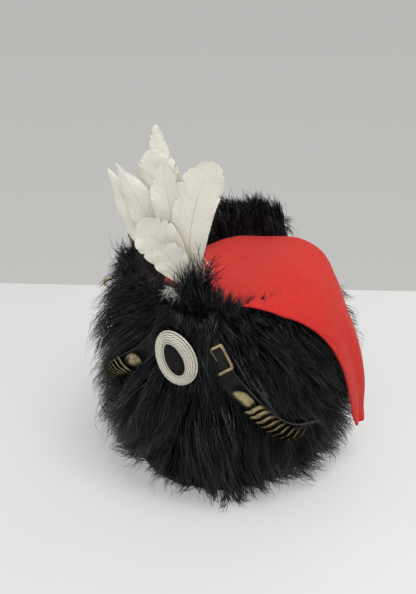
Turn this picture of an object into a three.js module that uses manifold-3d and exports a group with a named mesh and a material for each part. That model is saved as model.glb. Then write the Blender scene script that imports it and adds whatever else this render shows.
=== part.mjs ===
// A hussar's busby: a tall oval fur cap with a red cloth bag that hangs over the wearer's left side, a fan
// of white goose feathers and a black hackle at the front, an oval corded boss, and a buckled leather chin
// strap with brass scales, worn up over the front. Millimetres, +Z up. The front faces -Y and the wearer's
// left is +X. The cap stands on its lower edge, and an angle round it is counted from the front towards the
// wearer's left.
import * as THREE from "three";
import { mergeVertices } from "three/addons/utils/BufferGeometryUtils.js";
import Module from "manifold-3d";

const wasm = await Module();
wasm.setup();

// ---- Driving dimensions --------------------------------------------------------------------------------

const GAP = 0.4; // between any two pieces
const HEAD = { halfWidth: 82, halfDepth: 99 }; // the oval that the head goes into
const HIDE = 4; // the stiff wall and the pelt's skin, which carry the fur

// Height of the fur's top edge on each side of the cap. The bag presses it down on the wearer's left.
const RIM = { front: 203, right: 214, back: 228, left: 192 };

// How far the fur stands out from the hide on each side, at a share of the rim's height.
const FUR = [
  { share: 0.0, front: 21, right: 27, back: 21, left: 28 },
  { share: 0.05, front: 27, right: 33, back: 28, left: 33 },
  { share: 0.16, front: 34, right: 39, back: 35, left: 39 },
  { share: 0.32, front: 38, right: 42, back: 39, left: 44 },
  { share: 0.5, front: 38, right: 42, back: 40, left: 44 },
  { share: 0.66, front: 35, right: 41, back: 38, left: 41 },
  { share: 0.79, front: 29, right: 39, back: 35, left: 35 },
  { share: 0.89, front: 22, right: 33, back: 29, left: 27 },
  { share: 0.96, front: 13, right: 24, back: 20, left: 18 },
  { share: 1.0, front: 4, right: 13, back: 9, left: 8 },
];
const FUR_STEPS = 42; // round the cap
const RIM_ROUNDING = 4; // how far the wall's inside stops below the fur's top edge

const CROWN = { rightEdge: 164, leftEdge: 184, thickness: 2.5, rise: 14, steps: 32 };

// The bag's centre line over the crown and down the wearer's left side: a row for each section, with its
// front and back edges, and how far each edge turns down.
const BAG_THICKNESS = 3;
const BAG = [
  { across: -72, height: 176, front: -32, frontDrop: 0, back: 30, backDrop: 0 },
  { across: -58, height: 185, front: -62, frontDrop: 1, back: 65, backDrop: 0 },
  { across: -24, height: 198, front: -82, frontDrop: 7, back: 88, backDrop: 0 },
  { across: 14, height: 202, front: -93, frontDrop: 7, back: 92, backDrop: 0 },
  { across: 53, height: 208, front: -93, frontDrop: 9, back: 83, backDrop: 1 },
  { across: 84, height: 203, front: -83, frontDrop: 14, back: 64, backDrop: 3 },
  { across: 106, height: 184, front: -66, frontDrop: 12, back: 47, backDrop: 5 },
  { across: 122, height: 157, front: -51, frontDrop: 8, back: 38, backDrop: 7 },
  { across: 135, height: 125, front: -42, frontDrop: 6, back: 35, backDrop: 7 },
  { across: 143, height: 90, front: -31, frontDrop: 6, back: 30, backDrop: 5 },
  { across: 144, height: 61, front: -20, frontDrop: 4, back: 20, backDrop: 3 },
  { across: 145, height: 46, front: -12, frontDrop: 2, back: 12, backDrop: 1 },
];
const BAG_GRID = { along: 25, across: 9 };

// The chin strap runs from one side of the cap, up over the front and down to the other side, as one loop.
// A row is a place on the fur, how deep the strap's middle lies in it, and how far its face is rolled down.
const STRAP = { width: 17, thickness: 2 };
const TONGUE_ROUTE = [
  { angle: -92, height: 14, sunk: 26, roll: 0 },
  { angle: -84, height: 44, sunk: 22, roll: 14 },
  { angle: -71, height: 78, sunk: 15, roll: 38 },
  { angle: -58, height: 97, sunk: 10, roll: 50 },
  { angle: -47, height: 108, sunk: 7.5, roll: 56 },
  { angle: -36, height: 124, sunk: 5.5, roll: 50 },
  { angle: -27, height: 138, sunk: 5, roll: 28 },
  { angle: -20, height: 150, sunk: 5, roll: 8 },
  { angle: -14, height: 166, sunk: 5, roll: 0 },
  { angle: -7, height: 184, sunk: 5, roll: 0 },
  { angle: -2, height: 193, sunk: 4, roll: 0 },
  { angle: 4, height: 193, sunk: 4, roll: 0 },
  { angle: 8.6, height: 182, sunk: 5, roll: 0 },
  { angle: 11.6, height: 169, sunk: 5, roll: 0 },
  { angle: 14.6, height: 157, sunk: 5, roll: 0 },
  { angle: 18.3, height: 143, sunk: 5, roll: 0 },
];
const SCALED_ROUTE = [
  { angle: 15.4, height: 154, sunk: 7.6, roll: 0 },
  { angle: 18.3, height: 143, sunk: 7.6, roll: 0 },
  { angle: 22.5, height: 131, sunk: 6.5, roll: 12 },
  { angle: 26.6, height: 120.5, sunk: 5, roll: 28 },
  { angle: 31, height: 109, sunk: 5, roll: 36 },
  { angle: 35.5, height: 98.5, sunk: 5, roll: 40 },
  { angle: 40.5, height: 89, sunk: 5, roll: 43 },
  { angle: 45.5, height: 82.5, sunk: 5.5, roll: 44 },
  { angle: 51.5, height: 77.5, sunk: 7, roll: 44 },
  { angle: 63, height: 66, sunk: 12, roll: 34 },
  { angle: 76, height: 42, sunk: 18, roll: 14 },
  { angle: 88, height: 14, sunk: 24, roll: 0 },
];
const BUCKLE_PLACE = 0.945; // share of the tongue's route where the buckle's bar lies
// The fur is pressed flat over and beside the strap where it shows, and closes over its two sewn ends.
// Shares of each route.
const SHOWN = { tongue: { from: 0.22, to: 1 }, scaled: { from: 0, to: 0.62 } };
const HIDDEN = { tongue: { from: 0, to: 0.23 }, scaled: { from: 0.61, to: 1 } };
const FUR_ROOM = { beside: 2.5, below: 0.5, above: 1, shown: 40, lean: 5 };
const BAND_STEP = 8; // length of one straight piece of a strap

const BUCKLE = { width: 22.5, length: 25.5, bar: 2.6, thickness: 1.8, barDiameter: 1.8 };
const PRONG = { width: 2, thickness: 1.4 };

// Brass scales: the one nearest the front is a long oval, and the others overlap like tiles, with their free
// ends towards the front and tilted off the strap. The root and the tip take these shares of a scale's length
// where they are round, and a notch between the free end's two lobes has a width that is a share of the
// scale's.
const SCALE = {
  halfWidth: 10.5,
  length: 15,
  thickness: 0.9,
  dome: 2.6,
  tilt: 17,
  rootRound: 0.25,
  tipRound: 0.55,
  notch: 2.2,
  notchWidth: 0.22,
};
const END_SCALE = {
  halfWidth: 7,
  length: 29,
  thickness: 1.2,
  dome: 2.6,
  tilt: 1,
  rootRound: 0.5,
  tipRound: 0.5,
  notch: 0,
  notchWidth: 1,
};
const ROUND_END = 0.985; // an end stops at this share of its round, so that its corner isn't a knife edge
// How far each free end lies behind the one before it.
const SCALE_SPACING = { first: 20, others: 6.8 };
// Each run starts at a share of its strap's route, and goes on along it or back. Its farthest scale has the
// most tilt.
const SCALE_RUNS = {
  left: { start: 0.105, scales: 9, direction: 1, mostTilt: 34 },
  right: { start: 0.632, scales: 7, direction: -1, mostTilt: 22 },
};

// The boss: an oval of corded rings on a domed black core, over the strap. It narrows towards its top, and the
// rings' middles drift across and along it, so that they lie closest together at its lower edge.
const BOSS = { angle: -1.6, height: 159.5, sunk: 2, tilt: 35, halfWidth: 18, halfHeight: 25, backing: 2 };
const BOSS_SHAPE = { narrowing: 0.1, driftAcross: -2.6, driftAlong: -1.2 };
const BOSS_RINGS = { count: 6, cord: 0.8, pitch: 1.75, dome: 3.6, steps: 28, sides: 5 };
const BOSS_DOME_SHARES = { from: 0.15, over: 0.7 }; // the part of a half wave that the rings' dome takes
// The cloth inside the rings rises from their inner edge in a low dome: insets from that edge, and heights
// over the backing.
const BOSS_CENTRE = [
  { inset: 0.5, rise: 2.4 },
  { inset: 3.5, rise: 3.8 },
];
const BOSS_CENTRE_TOP = { halfWidth: 0.2, rise: 4.4 };

// Feathers, from the front of the fan to its back. A feather runs from its root to its tip, bows sideways,
// and is widest at a share of its length.
const PLUME = {
  x: 0,
  y: -100,
  rootHeight: 210,
  spacing: 1.9,
  thickness: 1.3,
  edge: 0.7,
  quill: 1.4,
  swell: 0.9, // how a feather widens from its quill: 1 is a quarter of a sine wave
};
const FEATHERS = [
  { name: "front_short", root: 1, tipX: -28, tipHeight: 255, bow: 3, halfWidth: 17, widest: 0.72 },
  { name: "front_broad", root: 0, tipX: -41, tipHeight: 271, bow: 3, halfWidth: 22, widest: 0.74 },
  { name: "right_paddle", root: 3, tipX: 14, tipHeight: 328, bow: -3, halfWidth: 20, widest: 0.8 },
  { name: "middle_front", root: 0, tipX: -24, tipHeight: 322, bow: -2, halfWidth: 14, widest: 0.74 },
  { name: "left_inner", root: -1, tipX: -71, tipHeight: 318, bow: 1, halfWidth: 17, widest: 0.6 },
  { name: "left_outer", root: -2, tipX: -81, tipHeight: 312, bow: -4, halfWidth: 17, widest: 0.55 },
  { name: "middle_wide", root: 0, tipX: -34, tipHeight: 339, bow: -3, halfWidth: 21, widest: 0.76 },
  { name: "middle_tall", root: -1, tipX: -33, tipHeight: 353, bow: -4, halfWidth: 13, widest: 0.66 },
];
const STEM = { y: -96.4, diameter: 3.6, top: 209, bottom: 181 }; // inside the wall, over the crown

// The hackle: a tuft of short black feathers at the fan's root, as its outer form.
const HACKLE = { x: 9, y: -113.5, steps: 14 };
const HACKLE_FORM = [
  { height: 205, halfWidth: 12, halfDepth: 2.5 },
  { height: 214, halfWidth: 17, halfDepth: 4.5 },
  { height: 226, halfWidth: 18, halfDepth: 5 },
  { height: 238, halfWidth: 15, halfDepth: 4 },
  { height: 249, halfWidth: 8, halfDepth: 2 },
];

// A small brass hook high on the wearer's right side, to which the strap can be hung. Its wire's line has
// points out from the fur and down, as shares of its reach and its drop.
const HOOK = { angle: -76, height: 178, depth: 12, drop: 9, reach: 7, diameter: 2, steps: 12, sides: 6 };
const HOOK_LINE = [
  { out: 0.7, down: 0.15 },
  { out: 1, down: 0.5 },
  { out: 0.6, down: 0.95 },
  { out: 0.1, down: 0.8 },
];

// How far the fur is cut back round a piece that lies in it.
const CLEAR = { bagBelow: 1, bagAbove: 70, bagBeside: 1, buckle: 1, buckleBelow: 4.5, boss: 1, above: 40 };

// ---- Small tools ---------------------------------------------------------------------------------------

const { clamp, degToRad, lerp } = THREE.MathUtils;
const vec = (x = 0, y = 0, z = 0) => new THREE.Vector3(x, y, z);
const range = (count) => Array.from({ length: count }, (_, i) => i);
const spread = (count) => range(count).map((i) => i / (count - 1)); // shares from 0 to 1

// A closed solid through rings that all have the same number of points. Joined, the last ring meets the
// first, as in a tyre; otherwise each end is closed with a flat cap.
function loft(rings, joined = false) {
  const count = rings[0].length;
  const faces = [];
  for (const r of range(joined ? rings.length : rings.length - 1)) {
    const here = r * count;
    const next = ((r + 1) % rings.length) * count;
    for (const i of range(count)) {
      const j = (i + 1) % count;
      faces.push(here + i, here + j, next + j, here + i, next + j, next + i);
    }
  }
  const end = (rings.length - 1) * count;
  for (const i of joined ? [] : range(count - 2)) {
    faces.push(0, i + 2, i + 1, end, end + i + 1, end + i + 2);
  }
  return facingOut(new THREE.BufferGeometry().setFromPoints(rings.flat()).setIndex(faces));
}

// A closed solid's enclosed volume is positive when its faces point out. Turned round, they all do.
function facingOut(geometry) {
  const at = geometry.getAttribute("position");
  const index = [...geometry.index.array];
  const corner = (i) => vec().fromBufferAttribute(at, index[i]);
  let volume = 0;
  for (let i = 0; i < index.length; i += 3) {
    volume += corner(i).dot(corner(i + 1).cross(corner(i + 2)));
  }
  return volume < 0 ? geometry.setIndex(index.reverse()) : geometry;
}

function toSolid(geometry) {
  const bare = geometry.clone();
  bare.deleteAttribute("normal");
  bare.deleteAttribute("uv");
  const merged = mergeVertices(bare, 1e-3);
  return new wasm.Manifold(
    new wasm.Mesh({
      numProp: 3,
      vertProperties: merged.getAttribute("position").array,
      triVerts: new Uint32Array(merged.index.array),
    }),
  );
}

function toGeometry(solid) {
  const mesh = solid.getMesh();
  return new THREE.BufferGeometry()
    .setAttribute("position", new THREE.BufferAttribute(mesh.vertProperties, mesh.numProp))
    .setIndex(new THREE.BufferAttribute(mesh.triVerts, 1));
}

// The largest body that is left: a sliver that comes loose between two cuts is dropped.
function cut(geometry, tools) {
  const left = tools.reduce((solid, tool) => solid.subtract(toSolid(tool)), toSolid(geometry));
  return toGeometry(left.decompose().sort((a, b) => b.volume() - a.volume())[0]);
}
const join = (parts) => toGeometry(parts.map(toSolid).reduce((whole, part) => whole.add(part)));

// A block whose lowest corner and size are given.
const block = (low, size) =>
  new THREE.BoxGeometry(...size).translate(...low.map((value, i) => value + size[i] / 2));

// A round bar along a curve.
function roundBar(curve, diameter, steps, sides) {
  const section = new THREE.Shape(
    range(sides).map((i) => {
      const turn = (2 * Math.PI * i) / sides;
      return new THREE.Vector2(Math.cos(turn), Math.sin(turn)).multiplyScalar(diameter / 2);
    }),
  );
  return new THREE.ExtrudeGeometry(section, { steps, extrudePath: curve, bevelEnabled: false });
}

function part(name, geometry, material) {
  const mesh = new THREE.Mesh(geometry, material.clone());
  mesh.name = name;
  return mesh;
}

// The mesh set on a frame: its own X lies across, its Y along, and its Z points out.
const axesOf = ({ across, along, out }) => new THREE.Matrix4().makeBasis(across, along, out);
function setOn(mesh, frame) {
  mesh.quaternion.setFromRotationMatrix(axesOf(frame));
  mesh.position.copy(frame.at);
  return mesh;
}
// The same for a geometry that cuts another piece.
const movedTo = (geometry, frame) => geometry.applyMatrix4(axesOf(frame).setPosition(frame.at));

// ---- The fur's outer form ------------------------------------------------------------------------------

// A value that each side of the cap has in a row, blended at an angle: the four shares add up to 1.
function blendSides(row, angle) {
  const ahead = Math.cos(angle);
  const leftward = Math.sin(angle);
  const across = leftward ** 2 * (leftward > 0 ? row.left : row.right);
  return ahead ** 2 * (ahead > 0 ? row.front : row.back) + across;
}

const headRadius = (angle) =>
  1 / Math.hypot(Math.sin(angle) / HEAD.halfWidth, Math.cos(angle) / HEAD.halfDepth);
const roundCap = (angle, radius, height) =>
  vec(Math.sin(angle) * radius, -Math.cos(angle) * radius, height);

function furDepth(angle, share) {
  const next = FUR.findIndex((row) => row.share > Math.max(share, 0));
  const [low, high] = next < 0 ? FUR.slice(-2) : FUR.slice(next - 1, next + 1);
  const between = (share - low.share) / (high.share - low.share);
  return lerp(blendSides(low, angle), blendSides(high, angle), between);
}

// The point of the fur's surface at an angle and a height.
function furAt(angle, height) {
  const radius = headRadius(angle) + HIDE + furDepth(angle, height / blendSides(RIM, angle));
  return roundCap(angle, radius, height);
}

// A frame on the fur at an angle and a height: out is its facing, and along points up the cap.
function furFrame(angle, height) {
  const turn = 0.05;
  const climb = 5;
  const round = furAt(angle + turn, height).sub(furAt(angle - turn, height));
  const up = furAt(angle, height + climb).sub(furAt(angle, height - climb));
  const out = round.clone().cross(up).normalize();
  const across = round.normalize();
  return { at: furAt(angle, height), across, out, along: out.clone().cross(across) };
}

function furBody() {
  const rings = range(FUR_STEPS).map((i) => {
    const angle = (2 * Math.PI * i) / FUR_STEPS;
    const rim = blendSides(RIM, angle);
    const outside = FUR.map((row) => furAt(angle, row.share * rim));
    const inside = [rim - RIM_ROUNDING, 0].map((height) => roundCap(angle, headRadius(angle), height));
    return [...outside, ...inside];
  });
  return loft(rings, true);
}

// ---- Crown and bag -------------------------------------------------------------------------------------

// The crown is a dome of cloth that closes the cap inside the fur's top edge. It is higher on the wearer's
// left. Its height at a share of the way out to its edge:
function crownHeight(at, out) {
  const { rightEdge, leftEdge, rise } = CROWN;
  const across = (at.x / HEAD.halfWidth + 1) / 2;
  return lerp(rightEdge, leftEdge, across) + rise * (1 - out ** 2);
}
function crown() {
  const outs = [1, 0.75, 0.4, 0.01];
  const upper = outs.map((out) => ({ out, lift: CROWN.thickness }));
  const lower = outs.map((out) => ({ out, lift: 0 })).reverse();
  const ovals = [...lower, ...upper].map(({ out, lift }) =>
    range(CROWN.steps).map((i) => {
      const angle = (2 * Math.PI * i) / CROWN.steps;
      const at = roundCap(angle, (headRadius(angle) - GAP) * out, 0);
      return at.setZ(crownHeight(at, out) + lift);
    }),
  );
  return loft(ovals);
}

// The bag's middle surface is a smooth line through the table's sections, each an arch whose edges turn
// down. The solid lies between two heights from it, below and above.
function bag(below, above, widened = 0) {
  const smooth = (pick) => new THREE.CatmullRomCurve3(BAG.map(pick), false, "centripetal");
  const line = smooth((row) => vec(row.across, 0, row.height));
  const front = smooth((row) => vec(row.front, row.frontDrop, row.height));
  const back = smooth((row) => vec(row.back, row.backDrop, row.height));
  const rings = spread(BAG_GRID.along).map((t) => {
    const middle = line.getPoint(t);
    const tangent = line.getTangent(t);
    const out = vec(-tangent.z, 0, tangent.x);
    const near = front.getPoint(t);
    const far = back.getPoint(t);
    const point = (share, lift) => {
      const y = lerp(near.x - widened, far.x + widened, share);
      const side = 2 * share - 1;
      const drop = side ** 2 * (side < 0 ? near.y : far.y);
      return middle.clone().addScaledVector(out, lift - drop).setY(y);
    };
    const shares = spread(BAG_GRID.across);
    return [...shares.map((s) => point(s, above)), ...shares.reverse().map((s) => point(s, below))];
  });
  return loft(rings);
}

// ---- Chin strap ----------------------------------------------------------------------------------------

// Frames along a strap's route over the fur, each with its place, its direction, the way across and the way
// out.
function strapFrames(route) {
  const places = route.map(({ angle, height, sunk }) => {
    const frame = furFrame(degToRad(angle), height);
    return frame.at.addScaledVector(frame.out, -sunk);
  });
  const curve = new THREE.CatmullRomCurve3(places, false, "centripetal");
  const rollAt = (share) => {
    const place = curve.getUtoTmapping(share) * (route.length - 1);
    const row = Math.min(Math.floor(place), route.length - 2);
    return degToRad(lerp(route[row].roll, route[row + 1].roll, place - row));
  };
  const flatAt = (share) => {
    const at = curve.getPointAt(share);
    const along = curve.getTangentAt(share);
    const facing = furFrame(Math.atan2(at.x, -at.y), at.z).out;
    const out = facing.addScaledVector(along, -facing.dot(along)).normalize();
    return { at, along, out, across: along.clone().cross(out) };
  };
  const frameAt = (share) => {
    const { at, along, out } = flatAt(share);
    out.applyAxisAngle(along, rollAt(share));
    return { at, along, out, across: along.clone().cross(out) };
  };
  return { length: curve.getLength(), frameAt, flatAt, rollAt };
}

// A flat band along a route, beside it by half its width, from one height over its middle to another.
function band({ length, frameAt }, halfWidth, below, above) {
  const rings = spread(Math.ceil(length / BAND_STEP) + 1).map((share) => {
    const { at, across, out } = frameAt(share);
    const corner = (side, lift) => at.clone().addScaledVector(across, side).addScaledVector(out, lift);
    return [
      corner(-halfWidth, below),
      corner(halfWidth, below),
      corner(halfWidth, above),
      corner(-halfWidth, above),
    ];
  });
  return loft(rings);
}

const strapBand = (frames) => band(frames, STRAP.width / 2, -STRAP.thickness / 2, STRAP.thickness / 2);

// The room that a strap takes in the fur goes straight in from the fur's face. Where the strap is rolled, the
// room reaches past its turned edges, and is wider on the side that its scales lean to.
function strapRoom({ length, flatAt, rollAt }, { from, to }, top) {
  const { beside, below, lean } = FUR_ROOM;
  const half = STRAP.width / 2 + beside;
  const steps = Math.ceil((length * (to - from)) / BAND_STEP);
  const rings = spread(steps + 1).map((t) => {
    const share = lerp(from, to, t);
    const { at, across, out } = flatAt(share);
    const turned = Math.sin(rollAt(share));
    const rise = (STRAP.width / 2) * turned;
    const low = -STRAP.thickness / 2 - below - rise;
    const high = top + rise;
    const corner = (side, lift) => at.clone().addScaledVector(across, side).addScaledVector(out, lift);
    const far = half + lean * turned;
    return [corner(-half, low), corner(far, low), corner(far, high), corner(-half, high)];
  });
  return loft(rings);
}

// The buckle's frame lies on the tongue, and its middle bar passes under it between two posts. Its own
// origin is in the middle of the tongue's thickness.
function buckleFrame() {
  const { width, length, bar, thickness, barDiameter } = BUCKLE;
  const low = STRAP.thickness / 2 + GAP;
  const under = -STRAP.thickness / 2 - GAP - barDiameter;
  const outer = block([-width / 2, -length / 2, low], [width, length, thickness]);
  const hole = block(
    [-width / 2 + bar, -length / 2 + bar, low - 1],
    [width - 2 * bar, length - 2 * bar, thickness + 2],
  );
  const post = (side) => {
    const x = side * (width / 2 - bar / 2);
    return block([x - bar / 2, -bar / 2, under], [bar, bar, low - under + thickness / 2]);
  };
  const cross = block([-width / 2 + 1, -barDiameter / 2, under], [width - 2, barDiameter, barDiameter]);
  return join([cut(outer, [hole]), post(-1), post(1), cross]);
}

// The prong stands on the middle bar, comes up through the tongue, and its tip lies on the frame. Its
// outline, seen from the side, is drawn towards the tip and up, and its width is added across.
function buckleProng() {
  const { width, thickness } = PRONG;
  const low = STRAP.thickness / 2 + GAP;
  const tip = low + BUCKLE.thickness + GAP;
  const end = BUCKLE.length / 2 - 0.5;
  const bend = end - BUCKLE.bar - 0.5;
  const outline = [
    [-thickness, -STRAP.thickness / 2],
    [0, -STRAP.thickness / 2],
    [0, low],
    [bend, tip],
    [end, tip],
    [end, tip + thickness],
    [bend, tip + thickness],
    [-thickness, low + thickness],
  ].map(([towards, up]) => new THREE.Vector2(towards, up));
  return new THREE.ExtrudeGeometry(new THREE.Shape(outline), { depth: width, bevelEnabled: false })
    .translate(0, 0, -width / 2)
    .rotateX(Math.PI / 2)
    .rotateZ(-Math.PI / 2);
}
const prongHole = () =>
  block([-PRONG.width / 2 - GAP, -GAP, -3], [PRONG.width + 2 * GAP, PRONG.thickness + 2 * GAP, 6]);

// A scale is a thin plate, arched across the strap and tilted up off it. Its root is at its origin, and the
// free end has two round lobes.
function scale({ halfWidth, length, thickness, dome, rootRound, tipRound, notch, notchWidth }, tilt) {
  const stations = spread(11).map((share) => {
    const side = 2 * share - 1;
    const short = 1 - Math.sqrt(1 - (ROUND_END * side) ** 2);
    const root = length * rootRound * short;
    const tip = length * (1 - tipRound * short) - notch * Math.exp(-((side / notchWidth) ** 2));
    const lift = dome * (1 - side ** 2);
    return [
      vec(side * halfWidth, root, lift),
      vec(side * halfWidth, tip, lift),
      vec(side * halfWidth, tip, lift + thickness),
      vec(side * halfWidth, root, lift + thickness),
    ];
  });
  return loft(stations).rotateX(degToRad(tilt));
}

// The scales of one side, from the long one outwards. A scale's root lies behind its free end.
function scaleRun(side, frames) {
  const { start, scales, direction, mostTilt } = SCALE_RUNS[side];
  const lift = STRAP.thickness / 2 + GAP;
  return range(scales + 1).map((i) => {
    const gone = i === 0 ? 0 : SCALE_SPACING.first + (i - 1) * SCALE_SPACING.others;
    const size = i === 0 ? END_SCALE : SCALE;
    const frame = frames.frameAt(start + (direction * (gone + size.length)) / frames.length);
    frame.at.addScaledVector(frame.out, lift);
    frame.along.multiplyScalar(-direction);
    frame.across.multiplyScalar(-direction);
    const name = i === 0 ? `scale_${side}_end` : `scale_${side}_${i}`;
    const moreTilt = ((mostTilt - SCALE.tilt) * Math.max(i - 1, 0)) / (scales - 1);
    return setOn(part(name, scale(size, size.tilt + moreTilt), brass), frame);
  });
}

// ---- Boss ----------------------------------------------------------------------------------------------

function bossDome(share) {
  const { from, over } = BOSS_DOME_SHARES;
  return BOSS_RINGS.dome * Math.sin(Math.PI * (from + over * share));
}

function oval(halfWidth, halfHeight, steps, z) {
  return range(steps).map((i) => {
    const turn = (2 * Math.PI * i) / steps;
    return vec(Math.cos(turn) * halfWidth, Math.sin(turn) * halfHeight, z);
  });
}

// A closed line round the boss, at an inset from its edge.
function bossLine(inset, z) {
  const { narrowing, driftAcross, driftAlong } = BOSS_SHAPE;
  const drift = clamp(inset / (BOSS_RINGS.count * BOSS_RINGS.pitch), 0, 1);
  return oval(BOSS.halfWidth - inset, BOSS.halfHeight - inset, BOSS_RINGS.steps, z).map((at) => {
    const narrow = 1 - (narrowing * at.y) / (BOSS.halfHeight - inset);
    return vec(at.x * narrow + driftAcross * drift, at.y + driftAlong * drift, z);
  });
}

// The core is black: a plate behind the cords, and a low dome that shows inside them.
function bossCore() {
  const { cord, count, pitch } = BOSS_RINGS;
  const { halfWidth, backing } = BOSS;
  const edge = cord / 2;
  const inner = count * pitch;
  const under = (share) => backing + bossDome(share) - cord / 2 - GAP;
  const centre = BOSS_CENTRE.map(({ inset, rise }) => ({ inset: inner + inset, z: backing + rise }));
  const rows = [
    { inset: edge, z: 0 },
    { inset: edge, z: under(0) },
    { inset: inner / 2, z: under(0.5) },
    { inset: centre[0].inset, z: under(1) },
    ...centre,
    { inset: halfWidth - BOSS_CENTRE_TOP.halfWidth, z: backing + BOSS_CENTRE_TOP.rise },
  ];
  return loft(rows.map(({ inset, z }) => bossLine(inset, z)));
}

// One ring of cord: a round section carried round the boss. Its way out is square to the line between its
// neighbours.
function bossRing(index) {
  const { cord, count, pitch, steps, sides } = BOSS_RINGS;
  const height = BOSS.backing + GAP + bossDome(index / (count - 1));
  const line = bossLine(cord / 2 + index * pitch, height);
  const rings = line.map((at, k) => {
    const along = line[(k + 1) % steps].clone().sub(line[(k + steps - 1) % steps]);
    const outward = vec(along.y, -along.x).normalize();
    return range(sides).map((i) => {
      const turn = (2 * Math.PI * i) / sides;
      return at
        .clone()
        .addScaledVector(outward, (Math.cos(turn) * cord) / 2)
        .setZ(height + (Math.sin(turn) * cord) / 2);
    });
  });
  return loft(rings, true);
}

function bossFrame() {
  const frame = furFrame(degToRad(BOSS.angle), BOSS.height);
  frame.at.addScaledVector(frame.out, -BOSS.sunk);
  for (const axis of [frame.across, frame.along]) {
    axis.applyAxisAngle(frame.out, degToRad(BOSS.tilt));
  }
  return frame;
}

// ---- Plume ---------------------------------------------------------------------------------------------

// A feather is a thin blade with a lens-shaped section, wide along most of its length and narrow at its
// quill.
function feather({ root, tipX, tipHeight, bow, halfWidth, widest }) {
  const start = vec(root, 0, PLUME.rootHeight);
  const end = vec(tipX, 0, tipHeight);
  const sideways = vec(end.z - start.z, 0, start.x - end.x).normalize();
  const middle = start.clone().lerp(end, 0.5).addScaledVector(sideways, bow * 2);
  const rachis = new THREE.QuadraticBezierCurve3(start, middle, end);
  const rings = spread(11).map((t) => {
    const along = rachis.getTangent(t);
    const side = vec(along.z, 0, -along.x);
    const spreadOut = t < widest ? Math.sin((Math.PI / 2) * (t / widest)) ** PLUME.swell : 1;
    const tip = t < widest ? 1 : Math.sqrt(1 - ((ROUND_END * (t - widest)) / (1 - widest)) ** 2);
    const half = Math.max(halfWidth * spreadOut * tip, PLUME.quill);
    const at = rachis.getPoint(t);
    const corner = (out, y) => at.clone().addScaledVector(side, out * half).setY(y);
    const { thickness, edge } = PLUME;
    return [
      corner(-1, -edge / 2),
      corner(0, -thickness / 2),
      corner(1, -edge / 2),
      corner(1, edge / 2),
      corner(0, thickness / 2),
      corner(-1, edge / 2),
    ];
  });
  return loft(rings);
}

function plume() {
  const nearest = PLUME.y - ((FEATHERS.length - 1) / 2) * PLUME.spacing;
  return FEATHERS.map((row, i) => {
    const mesh = part(`feather_${row.name}`, feather(row), goose);
    mesh.position.set(PLUME.x, nearest + i * PLUME.spacing, 0);
    return mesh;
  });
}

const stem = () =>
  new THREE.CylinderGeometry(STEM.diameter / 2, STEM.diameter / 2, STEM.top - STEM.bottom, 12)
    .rotateX(Math.PI / 2)
    .translate(PLUME.x, STEM.y, (STEM.top + STEM.bottom) / 2);

const hackle = () =>
  loft(
    HACKLE_FORM.map(({ height, halfWidth, halfDepth }) =>
      oval(halfWidth, halfDepth, HACKLE.steps, height).map((at) => at.add(vec(HACKLE.x, HACKLE.y))),
    ),
  );

// ---- Side hook -----------------------------------------------------------------------------------------

// A bent brass wire that comes out of the fur, turns down and ends in a short lip.
function hookWire(diameter) {
  const bends = HOOK_LINE.map(({ out, down }) => vec(0, -down * HOOK.drop, out * HOOK.reach));
  const line = new THREE.CatmullRomCurve3([vec(0, 0, -HOOK.depth), vec(), ...bends]);
  return roundBar(line, diameter, HOOK.steps, HOOK.sides);
}

// ---- Materials -----------------------------------------------------------------------------------------

const finish = (color, roughness, metalness) =>
  new THREE.MeshStandardMaterial({ color, roughness, metalness });
const fur = finish(0x0c0d10, 0.8, 0);
const felt = finish(0xc8322b, 0.95, 0);
const leather = finish(0x15161a, 0.45, 0);
const brass = finish(0xb09a55, 0.35, 1);
const silverCord = finish(0xcfc9b4, 0.6, 0.2);
const blackFelt = finish(0x0a0a0c, 0.95, 0);
const goose = finish(0xf2efe2, 0.8, 0);

// ---- Assembly ------------------------------------------------------------------------------------------

const tongue = strapFrames(TONGUE_ROUTE);
const scaled = strapFrames(SCALED_ROUTE);
const buckleAt = tongue.frameAt(BUCKLE_PLACE);
const bossAt = bossFrame();
const hookAt = furFrame(degToRad(HOOK.angle), HOOK.height);

const buckleRoom = movedTo(
  block(
    [-BUCKLE.width / 2 - CLEAR.buckle, -BUCKLE.length / 2 - CLEAR.buckle, -CLEAR.buckleBelow],
    [BUCKLE.width + 2 * CLEAR.buckle, BUCKLE.length + 2 * CLEAR.buckle, CLEAR.above],
  ),
  buckleAt,
);
const bossEdge = (z) => bossLine(-CLEAR.boss, z);
const bossRoom = movedTo(loft([bossEdge(-GAP), bossEdge(CLEAR.above)]), bossAt);
const bagRoom = bag(-BAG_THICKNESS / 2 - CLEAR.bagBelow, CLEAR.bagAbove, CLEAR.bagBeside);

const hiddenTop = STRAP.thickness / 2 + FUR_ROOM.above;

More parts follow.
